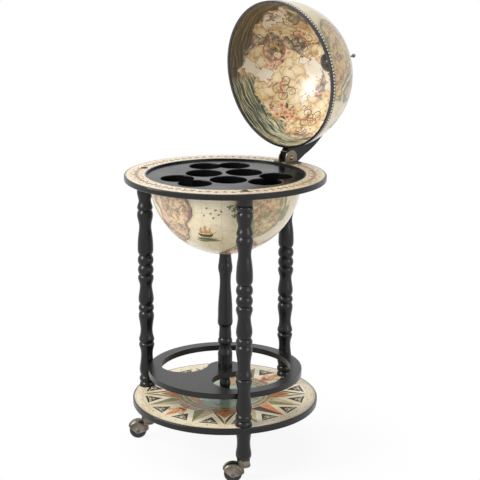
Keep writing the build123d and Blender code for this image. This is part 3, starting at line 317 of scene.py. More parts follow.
# ---- mesh pieces
def link_mesh(name, mesh, body, material, smooth=True):
    """An object for a finished mesh that rides on a body."""
    piece = linked(name, mesh)
    for polygon in mesh.polygons:
        polygon.use_smooth = smooth
    mesh.materials.append(material)
    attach(piece, body)
    return piece


def mesh_from(name, verts, faces):
    """A mesh with its faces turned outward."""
    mesh = bpy.data.meshes.new(name)
    mesh.from_pydata(verts, [], faces)
    bm = bmesh.new()
    bm.from_mesh(mesh)
    bmesh.ops.recalc_face_normals(bm, faces=bm.faces[:])
    bm.to_mesh(mesh)
    bm.free()
    return mesh


def cut_flat(outlines, longest):
    """Flat outlines cut into small triangles: their points, faces and rim edges."""
    bm = bmesh.new()
    for outline in outlines:
        if sum(a[0] * b[1] - b[0] * a[1] for a, b in zip(outline, outline[1:] + outline[:1])) < 0:
            outline = outline[::-1]
        corners = [bm.verts.new((u, v, 0)) for u, v in outline]
        bm.faces.new(corners).normal_update()
    bmesh.ops.triangulate(bm, faces=bm.faces[:])
    for _ in range(4):
        long_edges = [e for e in bm.edges if e.calc_length() > longest]
        if not long_edges:
            break
        bmesh.ops.subdivide_edges(bm, edges=long_edges, cuts=1, use_grid_fill=False)
        bm.normal_update()
        bmesh.ops.triangulate(bm, faces=[f for f in bm.faces if len(f.verts) > 3])
    bm.verts.ensure_lookup_table()
    bm.verts.index_update()
    flat = [(v.co.x, v.co.y) for v in bm.verts]
    faces = [[v.index for v in f.verts] for f in bm.faces]
    loops = [edge.link_loops[0] for edge in bm.edges if len(edge.link_loops) == 1]
    rim = [(loop.vert.index, loop.link_loop_next.vert.index) for loop in loops]
    bm.free()
    return flat, faces, rim


def lay(name, outlines, surface, material, thickness, body="stand"):
    """Lays flat outlines in millimetres on a surface(u, v, height) as thin closed plates of ink."""
    flat, faces, rim = cut_flat(outlines, 8.0)
    count = len(flat)
    verts = [surface(u, v, thickness) for u, v in flat] + [surface(u, v, 0.0) for u, v in flat]
    faces = faces + [[i + count for i in reversed(f)] for f in faces]
    faces += [[a, a + count, b + count, b] for a, b in rim]
    mesh = mesh_from(name, [tuple(c * MM for c in v) for v in verts], faces)
    return link_mesh(name, mesh, body, material, smooth=False)


def flat_surface(height, lift=0.0):
    """A level face to lay ink on."""
    return lambda u, v, h: (u, v, height / MM + lift + h)


def polar(radius, degrees_round):
    """A point on a flat circle, in millimetres."""
    turn = math.radians(degrees_round)
    return (radius * math.cos(turn), radius * math.sin(turn))


def stroke(points, widths):
    """The outline of a pen stroke along points, as wide as widths says at each."""
    left, right = [], []
    for i, ((x, y), width) in enumerate(zip(points, widths)):
        x0, y0 = points[max(i - 1, 0)]
        x1, y1 = points[min(i + 1, len(points) - 1)]
        length = math.hypot(x1 - x0, y1 - y0) or 1.0
        across_x, across_y = -(y1 - y0) / length * (width / 2), (x1 - x0) / length * (width / 2)
        left.append((x + across_x, y + across_y))
        right.append((x - across_x, y - across_y))
    return left + right[::-1]


def moved(outline, turn=0.0, shift=(0.0, 0.0), scale=1.0, flip=1.0):
    """An outline turned by degrees, moved and scaled."""
    c, s = math.cos(math.radians(turn)), math.sin(math.radians(turn))
    return [
        (shift[0] + scale * (x * c - flip * y * s), shift[1] + scale * (x * s + flip * y * c))
        for x, y in outline
    ]


# ---- antique map
LON_OF_AZIMUTH = 35.0
GLOBE_SPACING = 2.3

# each land: its ground tint, its painted shore and the few points of its coast as longitude, latitude
LANDS = [
    ("d6b286", "755c5c", [  # South America
        (-80, 0), (-78, 7), (-72, 12), (-62, 10), (-52, 5), (-50, 0), (-44, -2), (-37, -4), (-35, -8),
        (-33, -12), (-34, -17), (-37, -22), (-41, -26), (-40, -31), (-42, -36), (-44, -41), (-49, -44),
        (-54, -46), (-60, -50), (-66, -54), (-65, -57), (-72, -57), (-78, -50), (-76, -40), (-73, -30),
        (-70, -18), (-76, -14), (-81, -5),
    ]),
    ("d9b67c", "66855a", [  # Africa
        (9, 4), (-8, 5), (-17, 14), (-17, 21), (-10, 30), (-6, 35), (10, 37), (20, 32), (32, 31), (35, 28),
        (37, 20), (43, 12), (52, 12), (47, 0), (45, -6), (46, -15), (44, -22), (41, -28), (36, -33),
        (28, -38), (20, -39), (16, -34), (13, -23), (9, -16), (10, -8), (7, -1),
    ]),
    ("b5a878", "6f8a5c", [  # Madagascar
        (44, -25), (47, -25), (50, -16), (49, -12), (44, -17),
    ]),
    ("d2ae7c", "86706a", [  # Australia
        (114, -22), (114, -34), (118, -35), (124, -33), (131, -31), (138, -35), (146, -39), (150, -37),
        (153, -28), (146, -19), (142, -11), (139, -17), (136, -12), (130, -12), (126, -14), (122, -18),
    ]),
    ("b0a67c", "6f8a5c", [  # New Zealand
        (173, -35), (178, -38), (174, -41), (167, -46), (171, -42),
    ]),
    ("c0a676", "5f7a58", [  # New Guinea
        (131, -1), (141, -3), (150, -10), (143, -9), (138, -8), (133, -4),
    ]),
    ("c0a676", "6f8a5c", [  # Borneo
        (109, 2), (113, 4), (117, 7), (119, 3), (116, -4), (111, -3),
    ]),
    ("b0a67c", "7c635f", [  # Sumatra
        (95, 5), (98, 4), (106, -6), (102, -5),
    ]),
    ("d0aa86", "5c7a5c", [  # North America
        (-80, 8), (-84, 10), (-88, 14), (-94, 16), (-104, 19), (-112, 29), (-118, 34), (-124, 42),
        (-128, 51), (-138, 59), (-152, 59), (-165, 55), (-166, 65), (-157, 71), (-128, 70), (-110, 68),
        (-95, 68), (-94, 60), (-82, 55), (-79, 62), (-65, 60), (-56, 52), (-66, 45), (-74, 40), (-81, 31),
        (-81, 25), (-90, 30), (-97, 26), (-97, 20), (-90, 21), (-87, 16), (-83, 15), (-83, 11),
    ]),
    ("d0c29c", "7c6a66", [  # Greenland
        (-45, 60), (-52, 68), (-68, 78), (-40, 83), (-20, 80), (-22, 70), (-35, 66),
    ]),
    ("cfa982", "5b7a62", [  # Eurasia
        (-9, 37), (-9, 43), (-2, 44), (-1, 49), (8, 54), (6, 59), (14, 68), (28, 71), (42, 67), (60, 69),
        (75, 73), (105, 77), (140, 73), (178, 69), (163, 60), (158, 52), (142, 59), (135, 54), (140, 50),
        (128, 40), (122, 39), (121, 30), (115, 22), (108, 20), (109, 12), (101, 13), (103, 2), (98, 10),
        (94, 17), (88, 22), (80, 15), (77, 8), (73, 18), (66, 25), (57, 25), (55, 17), (45, 13), (39, 21),
        (35, 31), (36, 36), (27, 37), (28, 41), (22, 37), (14, 45), (17, 40), (9, 44), (3, 42), (-1, 37),
    ]),
    ("b58f7a", "6f8a5c", [  # Britain
        (-5, 50), (1, 51), (-2, 56), (-4, 58), (-5, 54),
    ]),
    ("b0a67c", "7c635f", [  # Japan
        (131, 32), (137, 35), (142, 40), (145, 44), (140, 42), (136, 37),
    ]),
]


def on_sphere(lon, lat):
    """The unit vector of a place on the globe, in the closed globe's frame."""
    turn = math.radians(lon - LON_OF_AZIMUTH)
    rise = math.radians(lat)
    return np.array([math.cos(rise) * math.cos(turn), math.cos(rise) * math.sin(turn), math.sin(rise)])


def coast_distance(points, outline):
    """Signed distance in radians from points on the unit sphere to a coastline, positive on land."""
    corners = np.array([on_sphere(*place) for place in outline])
    middle = corners.mean(0)
    middle /= np.linalg.norm(middle)
    side = np.cross(middle, [0.0, 0.0, 1.0])
    side /= np.linalg.norm(side)
    up = np.cross(side, middle)

    def flatten(p):
        """Equal-distance projection about the land's middle."""
        along = np.clip(p @ middle, -1, 1)
        away = np.arccos(along)
        x, y = p @ side, p @ up
        length = np.maximum(np.hypot(x, y), 1e-9)
        return np.stack([away * x / length, away * y / length], 1)

    flat, ring = flatten(points), flatten(corners)
    nearest = np.full(len(flat), 9.0)
    inside = np.zeros(len(flat), bool)
    for a, b in zip(ring, np.roll(ring, -1, 0)):
        run = b - a
        t = np.clip(((flat - a) @ run) / (run @ run), 0, 1)
        nearest = np.minimum(nearest, np.linalg.norm(flat - a - t[:, None] * run, axis=1))
        crosses = (a[1] > flat[:, 1]) != (b[1] > flat[:, 1])
        span = np.where(b[1] == a[1], 1e-9, b[1] - a[1])
        inside ^= crosses & (flat[:, 0] < run[0] * (flat[:, 1] - a[1]) / span + a[0])
    return np.where(inside, nearest, -nearest)


def rough_sphere_noise(points, scale, seed):
    """A soft wandering value from -1 to 1 on the sphere: a sum of a few waves in random directions."""
    rng = np.random.default_rng(seed)
    total = np.zeros(len(points))
    for octave in range(3):
        for _ in range(6):
            direction = rng.normal(size=3)
            direction *= scale * 2**octave / np.linalg.norm(direction)
            total += np.sin(points @ direction + rng.uniform(0, 6.28)) / 2**octave / 3.5
    return total


def map_fields(points):
    """Coast distance in millimetres on the globe and the two land tints, for unit vectors."""
    best = np.full(len(points), -9.0)
    tint = np.zeros((len(points), 4), np.float32)
    border = np.zeros((len(points), 4), np.float32)
    tint[:] = border[:] = srgb("a3864d")

    def claim(distance, inner, edge):
        nearer = distance > best
        np.maximum(best, distance, out=best)
        tint[nearer] = srgb(inner)
        border[nearer] = srgb(edge)

    for inner, edge, outline in LANDS:
        claim(coast_distance(points, outline), inner, edge)
    rise = np.arcsin(np.clip(points[:, 2], -1, 1))
    lon = np.degrees(np.arctan2(points[:, 1], points[:, 0])) + LON_OF_AZIMUTH
    bay = 22 * np.exp(-(((lon - LON_OF_AZIMUTH + 18) / 22) ** 2))
    shore = np.radians(-66 + bay + 2.5 * np.sin(np.radians(3 * lon + 40)))
    claim(shore - rise, "cf9f88", "8a5a4c")
    wander = rough_sphere_noise(points, 14.0, 3) * 0.012 + rough_sphere_noise(points, 55.0, 5) * 0.006
    return (best + wander) * GLOBE_R / MM, tint, border


def dome_shell(name, section, fields=None):
    """A closed turned shell about the origin. section is its half section as (radius, height) points in
    metres; fields(unit vectors) gives what the vertices carry."""
    turns = 6 * int(2 * math.pi * GLOBE_R / (GLOBE_SPACING * MM) / 6)
    angles = np.arange(turns) * 2 * math.pi / turns
    radius, height = np.array(section).T
    x, y = np.outer(radius, np.cos(angles)), np.outer(radius, np.sin(angles))
    verts = np.stack([x, y, np.repeat(height[:, None], turns, 1)], 2).reshape(-1, 3)
    here = np.arange(len(verts)).reshape(-1, turns)
    above = np.roll(here, -1, 0)
    faces = np.stack([here, np.roll(here, -1, 1), np.roll(above, -1, 1), above], 2).reshape(-1, 4)
    mesh = mesh_from(name, verts.tolist(), faces.tolist())
    if fields is not None:
        coast, *tints = fields(verts / np.maximum(np.linalg.norm(verts, axis=1), 1e-9)[:, None])
        mesh.attributes.new("coast", "FLOAT", "POINT").data.foreach_set("value", coast.astype(np.float32))
        for field, tint in zip(("tint", "border"), tints):
            mesh.attributes.new(field, "FLOAT_COLOR", "POINT").data.foreach_set("color", tint.ravel())
    return mesh


def arc_points(radius, start, end, spacing=GLOBE_SPACING):
    """Points (radius, height) on a quarter arc of the section, angles in degrees above the rim."""
    count = max(2, int(math.radians(abs(end - start)) * radius / (spacing * MM)))
    angles = [math.radians(start + (end - start) * i / count) for i in range(count + 1)]
    return [(radius * math.cos(a), radius * math.sin(a)) for a in angles]


def lid_turn():
    """The translation and rotation that take a place on the open lid back to the closed frame."""
    closing = OPENING.inverted()
    return {"Location": tuple(closing.translation), "Rotation": tuple(closing.to_euler())}


def sphere_angles(s, centre, on_lid):
    """Unit vector, longitude and latitude in degrees, and height of a point about a globe's centre."""
    here = s.place()
    if on_lid:
        here = s.add("Mapping", {"Vector": here, **lid_turn()}, vector_type="POINT")
    unit = s.vector("NORMALIZE", s.vector("SUBTRACT", here, tuple(centre)))
    x, y, z = s.split(unit, "XYZ")
    lon = s.times(s.math("ARCTAN2", y, x), 180 / math.pi)
    lat = s.times(s.math("ARCSINE", z), 180 / math.pi)
    return unit, lon, lat, z


def warped(s, unit, scale, amount):
    """Unit vectors pushed about by a soft noise."""
    push = s.noise(scale, 4, 0.6, at=unit, out="Color")
    return s.vector("ADD", unit, s.add("VectorMath", {0: push, 3: amount}, operation="SCALE"))


def cell_border(s, vector, scale):
    """The distance to the border of a Voronoi cell."""
    cell = {"Vector": vector, "Scale": scale}
    return s.add("TexVoronoi", cell, feature="DISTANCE_TO_EDGE", out="Distance")


def map_sea(s, unit, ragged):
    """Cream sea, darker by the shore, with engraved lines beside it and a few small islands."""
    sea = paper(s, "d3c39f", "e9dcbd", 0.45)
    rings = s.math("SINE", s.times(ragged, 4.2))
    hatch = s.times(s.step(rings, 0.35, 0.9), s.step(ragged, -5.5, -0.5))
    sea = s.stain(sea, "a58d5f", ragged, -9.0, -0.5, 0.35)
    sea = s.mix(s.times(hatch, 0.35), sea, "6e573a")
    isle = s.noise(9.0, 4, 0.6, 0.3, at=unit)
    sea = s.stain(sea, "8c8a5a", isle, 0.690, 0.700)
    sea = s.line(sea, "5a4a34", isle, 0.695, 0.004, 0.004)
    marks = s.step(s.noise(52.0, 2, 0.5, at=unit), 0.70, 0.74)
    return s.mix(s.times(marks, 0.5), sea, "7a6040")


def map_ground(s, unit, ragged, cloud):
    """Ochre land: soft countries, hatched mountains, inked borders and a painted shore."""
    bent = warped(s, unit, 7.0, 0.16)
    border = cell_border(s, bent, 5.0)
    cell = s.add("TexVoronoi", {"Vector": bent, "Scale": 5.0}, out="Color")
    pick = s.add("SeparateColor", {"Color": cell}, out="Red")
    country = s.ramp(pick, (0.15, "dfcba2"), (0.40, "d6ba88"), (0.62, "cfa98c"), (0.85, "ddc69a"))
    shore = s.field("border", "Color")
    ground = s.mix(0.45, country, s.field("tint", "Color"))
    ground = s.stain(ground, "c4958a", s.noise(3.6, 4, 0.6, 0.4, at=unit), 0.55, 0.65, 0.5)
    ground = s.stain(ground, "93705a", border, 0.09, 0.01, 0.35)
    ranges = s.step(s.noise(7.5, 3, 0.65, 1.4, at=unit), 0.47, 0.57)
    strokes = s.step(s.noise(58.0, 3, 0.65, 1.8, at=unit), 0.44, 0.53)
    ground = s.mix(s.times(s.times(ranges, strokes), 0.85), ground, "634a48")
    marks = s.noise(85.0, 2, 0.6, at=unit)
    ground = s.stain(ground, "6b5040", marks, 0.60, 0.70, 0.55)
    ground = s.stain(ground, "f0e2c0", marks, 0.40, 0.32, 0.45)
    ground = s.stain(ground, shore, s.plus(ragged, s.sway(cloud, 34.0)), 9.0, 4.0, 0.75)
    woods = s.step(s.noise(11.0, 4, 0.65, 0.5, at=unit), 0.57, 0.60)
    ground = s.mix(s.times(woods, 0.6), ground, shore)
    return s.stain(ground, "6a5040", border, 0.012, 0.005, 0.40)


def map_grid(s, lon, lat, z):
    """1 on the meridians and parallels, one every 15 degrees."""
    away = [
        s.math("ABSOLUTE", s.minus(s.math("FRACT", s.times(s.plus(angle, start), 1 / 15)), 0.5))
        for angle, start in ((lon, 367.5), (lat, 97.5))
    ]
    level = s.math("SQRT", s.math("MAXIMUM", s.minus(1.0, s.times(z, z)), 0.0001))
    lines = [s.step(value, 0.008, 0.016, 1.0, 0.0) for value in (s.times(away[0], level), away[1])]
    return s.math("MAXIMUM", *lines)


def map_material(name, centre, on_lid=False):
    """Varnished antique map with inked coasts and a faint grid."""
    s = Shade(name)
    unit, lon, lat, z = sphere_angles(s, centre, on_lid)
    cloud = s.noise(26, 5, 0.65)
    fine = s.noise(170, 4, 0.65)
    ragged = s.plus(s.field("coast"), s.sway(fine, 5.5))
    land = s.step(ragged, -0.25, 0.25)
    colour = s.mix(land, map_sea(s, unit, ragged), map_ground(s, unit, ragged, cloud))
    colour = s.mix(s.times(s.band(ragged, 0.35, 0.35, 0.35), 0.85), colour, "3c2a1e")
    colour = s.mix(s.times(map_grid(s, lon, lat, z), 0.30), colour, "6e573a")
    colour = s.stain(colour, "8a6a3e", s.noise(5.0, 4, 0.6), 0.50, 0.75, 0.20)
    if on_lid:
        colour = rim_scale(s, colour, lon, lat)
    return s.finish(
        Base_Color=colour,
        Roughness=s.plus(s.step(cloud, 0.3, 0.7, 0.24, 0.32), s.times(land, 0.04)),
        Normal=s.bump(fine, 0.06),
        Coat_Weight=0.4,
        Coat_Roughness=0.14,
    )


RIM_DASHES = 144


def rim_scale(s, colour, lon, lat):
    """The degree scale by the lid's rim: white dashes on a dark band, and a thin line."""
    dash = s.step(s.math("SINE", s.times(lon, RIM_DASHES * math.pi / 180)), -0.25, -0.05)
    height = s.times(lat, math.pi / 180 * GLOBE_R / MM)
    colour = s.line(colour, "17130f", height, 6.4, 3.0, 0.15)
    colour = s.mix(s.times(dash, s.band(height, 6.5, 1.5, 0.2)), colour, "f5edd9")
    return s.line(colour, "4a3a2c", height, 11.2, 0.25, 0.15)


def globe_bowl():
    """The lower half of the globe with its map, hung by its flange in the ring."""
    _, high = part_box("lower_bowl")
    inner = GLOBE_R - SHELL
    drop = high.z - FLANGE - BOWL_CENTRE.z
    skin = arc_points(GLOBE_R, -90 + math.degrees(POLE_BORE / GLOBE_R), 0)
    back = arc_points(inner, 0, -90 + math.degrees(POLE_BORE / inner), 6.0)
    rim = [(GLOBE_R, drop), (high.x, drop), (high.x, drop + FLANGE), (inner, drop + FLANGE)]
    mesh = dome_shell("bowl_map", skin + rim + back, map_fields)
    mesh.transform(Matrix.Translation(BOWL_CENTRE))
    piece = link_mesh("bowl_map", mesh, "stand", map_material("bowl_map", BOWL_CENTRE))
    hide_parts("lower_bowl")


def lid_dome(name, outer, inner, spacing, material, fields=None):
    """A shell of the open lid between two radii, from its edge to the bore at its pole."""
    low, low_inner = (math.degrees(math.asin(LID_EDGE / radius)) for radius in (outer, inner))
    skin = arc_points(outer, low, 90 - math.degrees(POLE_BORE / outer), spacing[0])
    back = arc_points(inner, 90 - math.degrees(POLE_BORE / inner), low_inner, spacing[1])
    mesh = dome_shell(name, skin + back, fields)
    mesh.transform(OPENING @ Matrix.Translation(LID_CENTRE))
    return link_mesh(name, mesh, "lid", material)


def globe_lid():
    """The upper half of the globe with its map and degree scale."""
    material = map_material("lid_map", LID_CENTRE, True)
    spacing = (GLOBE_SPACING, 6.0)
    piece = lid_dome("lid_map", GLOBE_R, GLOBE_R - SHELL, spacing, material, map_fields)
    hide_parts("lid_shell")


# ---- the lid's painted inside
def billows(s, bent, scale, line, stops, ink="8a6238"):
    """Rounded cloud puffs, each shaded from its middle, with thin dark outlines."""
    puff = {"Vector": bent, "Scale": scale, "Smoothness": 0.25}
    colour = s.ramp(s.add("TexVoronoi", puff, feature="SMOOTH_F1", out="Distance"), *stops)
    return s.stain(colour, ink, cell_border(s, bent, scale), line, line * 0.3, 0.8)


def painted_sky(s, unit):
    """A cream sky with banks of ochre and grey cloud, and rose and mauve veils."""
    bent = warped(s, unit, 3.0, 0.20)
    sky = s.ramp(s.noise(2.6, 4, 0.6, at=unit), (0.35, "e8dac2"), (0.62, "f6efe0"))
    pale = billows(s, bent, 7.0, 0.022, ((0.10, "f5e8c8"), (0.50, "ead3a2"), (0.85, "cda873")))
    small = billows(s, bent, 12.0, 0.035, ((0.10, "f2e3c0"), (0.50, "e2c898"), (0.85, "bf9866")))
    grey = billows(s, bent, 11.0, 0.05, ((0.08, "d6c8aa"), (0.45, "a3937a"), (0.80, "6f604e")), "453829")
    pale = s.stain(pale, small, s.noise(4.2, 3, 0.5, 0.6, at=unit), 0.52, 0.55)
    bank = s.noise(2.0, 3, 0.45, 0.6, at=warped(s, unit, 2.0, 0.3))
    colour = s.stain(sky, pale, bank, 0.46, 0.468)
    colour = s.line(colour, "8a6238", bank, 0.464, 0.003, 0.004)
    storm = s.noise(1.7, 3, 0.5, 0.7, at=s.vector("ADD", bent, (3.1, 1.7, 5.3)))
    colour = s.stain(colour, grey, storm, 0.575, 0.583)
    rose = s.noise(3.8, 3, 0.55, 1.4, at=s.vector("ADD", bent, (7.7, 2.2, 0.4)))
    tones = ((0.34, "6d4a44"), (0.42, "b97c66"), (0.50, "e6b894"), (0.58, "f0d6b0"), (0.66, "a8655a"))
    folds = s.ramp(s.noise(9.0, 3, 0.6, 2.2, at=unit), *tones)
    colour = s.stain(colour, folds, rose, 0.595, 0.61)
    veil = s.noise(4.6, 3, 0.55, 1.0, at=s.vector("ADD", unit, (1.3, 9.1, 2.9)))
    return s.stain(colour, "7d5a60", veil, 0.60, 0.66, 0.7)


# tones of the streaks in the painted shade on one side of the lid's inside
SHADE_STREAK_TONES = ((0.38, "1a1613"), (0.50, "3d3428"), (0.57, "8a7a58"), (0.63, "2f3a34"))
WAVE_TONES = (
    (0.38, "162e2c"), (0.45, "3f6259"), (0.49, "cdbb8e"),
    (0.515, "efe3c2"), (0.54, "56776a"), (0.62, "1c3431"),
)


def painted_rim(s, colour, unit, lon, lat):
    """Adds painted shade along one side of the rim, dark streaks standing for the inside lying in shadow,
    and sea-green waves along the other.
    """

    def facing(azimuth):
        """The cosine of the turn away from an azimuth."""
        return s.math("COSINE", s.times(s.plus(lon, -azimuth), math.pi / 180))

    sway = s.sway(s.noise(2.2, 2, 0.5, at=unit), 5.0)
    stream = s.add("CombineXYZ", {"X": s.times(lon, 0.022), "Y": s.plus(s.times(lat, 0.42), sway), "Z": 0.0})
    streaks = s.noise(1.0, 4, 0.6, 0.5, at=stream)
    wander = s.plus(lat, s.sway(s.noise(4.0, 3, 0.6, at=unit), 26.0))
    # the painted shade is widest at one end and runs out towards the other
    reach = s.step(facing(-112.0), 0.3, 1.0, 12.0, 24.0)
    painted_shade_zone = s.times(s.step(s.minus(reach, wander), -1.5, 1.5), s.step(facing(-138.0), 0.05, 0.25))
    wave_zone = s.times(s.step(wander, 21.5, 20.0), s.step(facing(100.0), 0.28, 0.42))
    # painted shade: the streaks turn near black along one side of the rim, where the inside lies in shadow
    colour = s.mix(painted_shade_zone, colour, s.ramp(streaks, *SHADE_STREAK_TONES))
    return s.mix(wave_zone, colour, s.ramp(streaks, *WAVE_TONES))


def fresco():
    """The lining with its painted inside."""
    s = Shade("lid_fresco")
    unit, lon, lat, _ = sphere_angles(s, LID_CENTRE, True)
    aged = s.noise(60.0, 5, 0.7, at=unit)
    colour = painted_rim(s, painted_sky(s, unit), unit, lon, lat)
    material = s.finish(
        Base_Color=s.stain(colour, "8a6238", aged, 0.52, 0.75, 0.18),
        Roughness=s.step(aged, 0.3, 0.7, 0.32, 0.38),
        Normal=s.bump(aged, 0.04),
        Coat_Weight=0.9,
        Coat_Roughness=0.27,
    )
    piece = lid_dome("lid_fresco", LINING_R, LINING_INNER, (3.0, 3.0), material)
    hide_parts("lid_lining")


# ---- the printed ring and base
def axis_radius(s):
    """The distance from the trolley's axis in millimetres."""
    x, y = s.split(s.place(), "XY")
    return s.times(s.math("SQRT", s.plus(s.times(x, x), s.times(y, y))), 1 / MM)


def print_finish(s, colour, radius, circles, soft):
    """Adds printed circles, each with its radius, half width and colour, and the varnish."""
    for middle, half, code in circles:
        colour = s.line(colour, code, radius, middle, half, soft)
    fine = s.noise(240, 3, 0.6)
    return s.finish(
        Base_Color=colour,
        Roughness=s.step(fine, 0.3, 0.7, 0.26, 0.34),
        Normal=s.bump(fine, 0.06, 0.0003),
        Coat_Weight=0.12,
        Coat_Roughness=0.15,
    )


RING_CIRCLES = ((180.3, 0.25, "4a3626"), (213.2, 0.2, "7c4a34"), (220.0, 0.3, "4a3626"))
BASE_CIRCLES = (
    (86.0, 0.7, "e4d8b4"), (92.0, 0.4, "4f4226"), (97.0, 1.0, "c9b878"), (103.0, 0.4, "4f4226"),
    (108.5, 0.6, "e4d8b4"), (205.6, 0.2, "6d5236"), (190.8, 0.15, "8a6a48"), (208.6, 0.5, "4f3f2c"),
)


def ring_print_material():
    """The ring's print: cream varnished paper with circles and a fine filigree under the vine."""
    s = Shade("ring_print")
    radius = axis_radius(s)
    curls = s.noise(70, 2, 0.5, 0.8)
    contour = s.math("ABSOLUTE", s.minus(s.math("FRACT", s.times(curls, 9.0)), 0.5))
    filigree = s.times(s.step(contour, 0.20, 0.08), s.band(radius, VINE_RADIUS, 14.0, 1.0))
    rust = s.ramp(s.noise(40, 3, 0.6), (0.42, "9a7a56"), (0.58, "a8654c"))
    colour = s.mix(s.times(filigree, 0.55), paper(s, "d6c8a6", "ece2c8", 0.30), rust)
    return print_finish(s, colour, radius, RING_CIRCLES, 0.12)


def base_print_material():
    """The base print: cream field, brown and gold rings and a sea-green chart in the middle."""
    s = Shade("base_print")
    radius = axis_radius(s)
    gold = s.ramp(s.noise(60, 4, 0.6), (0.35, "6d5c32"), (0.65, "a8945a"))
    brown = s.ramp(s.noise(45, 4, 0.65), (0.35, "7b5638"), (0.65, "b08a5e"))
    sea = s.ramp(s.noise(16, 4, 0.6), (0.35, "7fa08c"), (0.65, "a9c2ac"))
    earth = s.ramp(s.noise(70, 4, 0.65), (0.35, "8f5a3a"), (0.65, "c08a5c"))
    land = s.noise(15, 5, 0.6, 0.4)
    chart = s.line(s.stain(sea, earth, land, 0.535, 0.545), "4a3526", land, 0.54, 0.004, 0.004)
    colour = paper(s, "e4d3ae", "f2e6c9", 0.35)
    for tone, low, high in ((brown, 124.5, 125.5), (gold, 108.0, 108.8), (chart, 85.6, 86.2)):
        colour = s.mix(s.step(radius, low, high, 1.0, 0.0), colour, tone)
    return print_finish(s, colour, radius, BASE_CIRCLES, 0.15)


# ---- ornament outlines, in millimetres
def leaf(length, width, bend=0.0, points=7):
    """A pointed leaf along +x from the origin."""
    ts = [i / (points - 1) for i in range(points)]
    spine = [(length * t, bend * math.sin(math.pi * t)) for t in ts]
    upper = [(x, y + width / 2 * math.sin(math.pi * t) ** 0.8) for (x, y), t in zip(spine, ts)]
    lower = [(x, y - width / 2 * math.sin(math.pi * t) ** 0.8) for (x, y), t in zip(spine, ts)]
    return upper + lower[-2:0:-1]


def round_outline(reaches):
    """A closed outline about the origin, with a corner at each of the given distances."""
    turns = [2 * math.pi * i / len(reaches) for i in range(len(reaches))]
    return [(reach * math.cos(turn), reach * math.sin(turn)) for reach, turn in zip(reaches, turns)]


def blossom(radius, petals, waist=0.45):
    """A round flower outline."""
    count = petals * 8
    waves = [abs(math.cos(petals * (2 * math.pi * i / count) / 2)) for i in range(count)]
    return round_outline([radius * (waist + (1 - waist) * wave) for wave in waves])


def star(radius, inner, points):
    """A pointed star outline with one point along +x."""
    return round_outline([radius, inner] * points)


def disc(radius, points=20):
    """A round dot."""
    return round_outline([radius] * points)


def scroll(radius, turns, start, hand, wide, narrow, points=22):
    """A spiral pen stroke that starts at an angle in degrees and curls to its middle."""
    ts = [i / points for i in range(points + 1)]
    path = [polar(radius * (1 - t) ** 0.75 + 0.12 * radius * t, start + hand * 360 * turns * t) for t in ts]
    return stroke(path, [wide + (narrow - wide) * t for t in ts])


def about_axis(outline, radius, azimuth, turn=0.0, scale=1.0):
    """An outline drawn with +y outward, placed on a circle about the axis."""
    return moved(outline, azimuth - 90 + turn, polar(radius, azimuth), scale)


def put(inks, ink, *placed):
    """Adds an outline placed about the axis to those of an ink."""
    inks[ink].append(about_axis(*placed))


# ---- ring ornament: a scrolling vine
VINE_RADIUS = 198.0
VINE_SWING = 4.4
VINE_CURLS = 72
VINE_STEP = 360 / VINE_CURLS
CURL_RADIUS = 4.8
OUTER_DOTS = 216.4
INNER_DOTS = 183.6
RING_INKS = {"brown": ("5f3a2a", "7f523e"), "rust": ("93462e", "b26642"), "olive": ("85835a", "a09a70")}
# each ink's thickness in millimetres
RING_THICKNESS = {"brown": 0.12, "rust": 0.10, "olive": 0.09}


def vine_curl(inks, k):
    """One curl of the vine, with its flower and leaves."""
    middle = VINE_STEP * (k + 0.5)
    side = 1 if k % 2 == 0 else -1
    wave = [
        polar(VINE_RADIUS + side * VINE_SWING * math.sin(math.pi * t / 8), VINE_STEP * (k + t / 8))
        for t in range(9)
    ]
    inks["brown"].append(stroke(wave, [1.6] * 9))
    curl = scroll(CURL_RADIUS, 1.0, 180, -side, 1.6, 1.0)
    put(inks, "brown", curl, VINE_RADIUS - side * 2.6, middle)
    put(inks, "rust" if k % 4 else "olive", blossom(2.8, 5), VINE_RADIUS - side * 2.6, middle)
    for fan, length in ((-55, 4.4), (0, 5.0), (55, 4.4)):
        outline = moved(leaf(length, 2.6, 0.5), 90 + fan)
        ink = "olive" if (k + (fan > 0)) % 2 else "rust"
        put(inks, ink, outline, VINE_RADIUS + side * 5.4, middle, 0, side)
    for away in (-1.5, 1.5):
        outline = moved(leaf(5.2, 2.6, -0.4), 90 - 30 * away)
        turn = 180 if side > 0 else 0
        put(inks, "rust", outline, VINE_RADIUS - side * 9.6, middle + away, turn)


def ring_ornament():
    """A vine that scrolls round the ring, with stars and dots by the borders."""
    inks = {ink: [] for ink in RING_INKS}
    for k in range(VINE_CURLS):
        vine_curl(inks, k)
        start, middle = VINE_STEP * k, VINE_STEP * (k + 0.5)
        put(inks, "brown", star(1.2, 0.45, 4), OUTER_DOTS, start)
        put(inks, "brown", disc(0.5, 10), INNER_DOTS, start)
        put(inks, "rust", star(1.0, 0.4, 4), INNER_DOTS, middle)
        put(inks, "brown", disc(0.45, 10), OUTER_DOTS, middle)
    top = flat_surface(RING_TOP)
    for ink, material in ink_set("ring_ink_", RING_INKS).items():
        lay("ring_vine_" + ink, inks[ink], top, material, RING_THICKNESS[ink])


# ---- base ornament: a compass rose
ROSE_TURN = -42.5
ROSE_TIP = 189.0
ROSE_ROOT = 110.0
ROSE_POINTS = 16
POINT_STEP = 360 / ROSE_POINTS
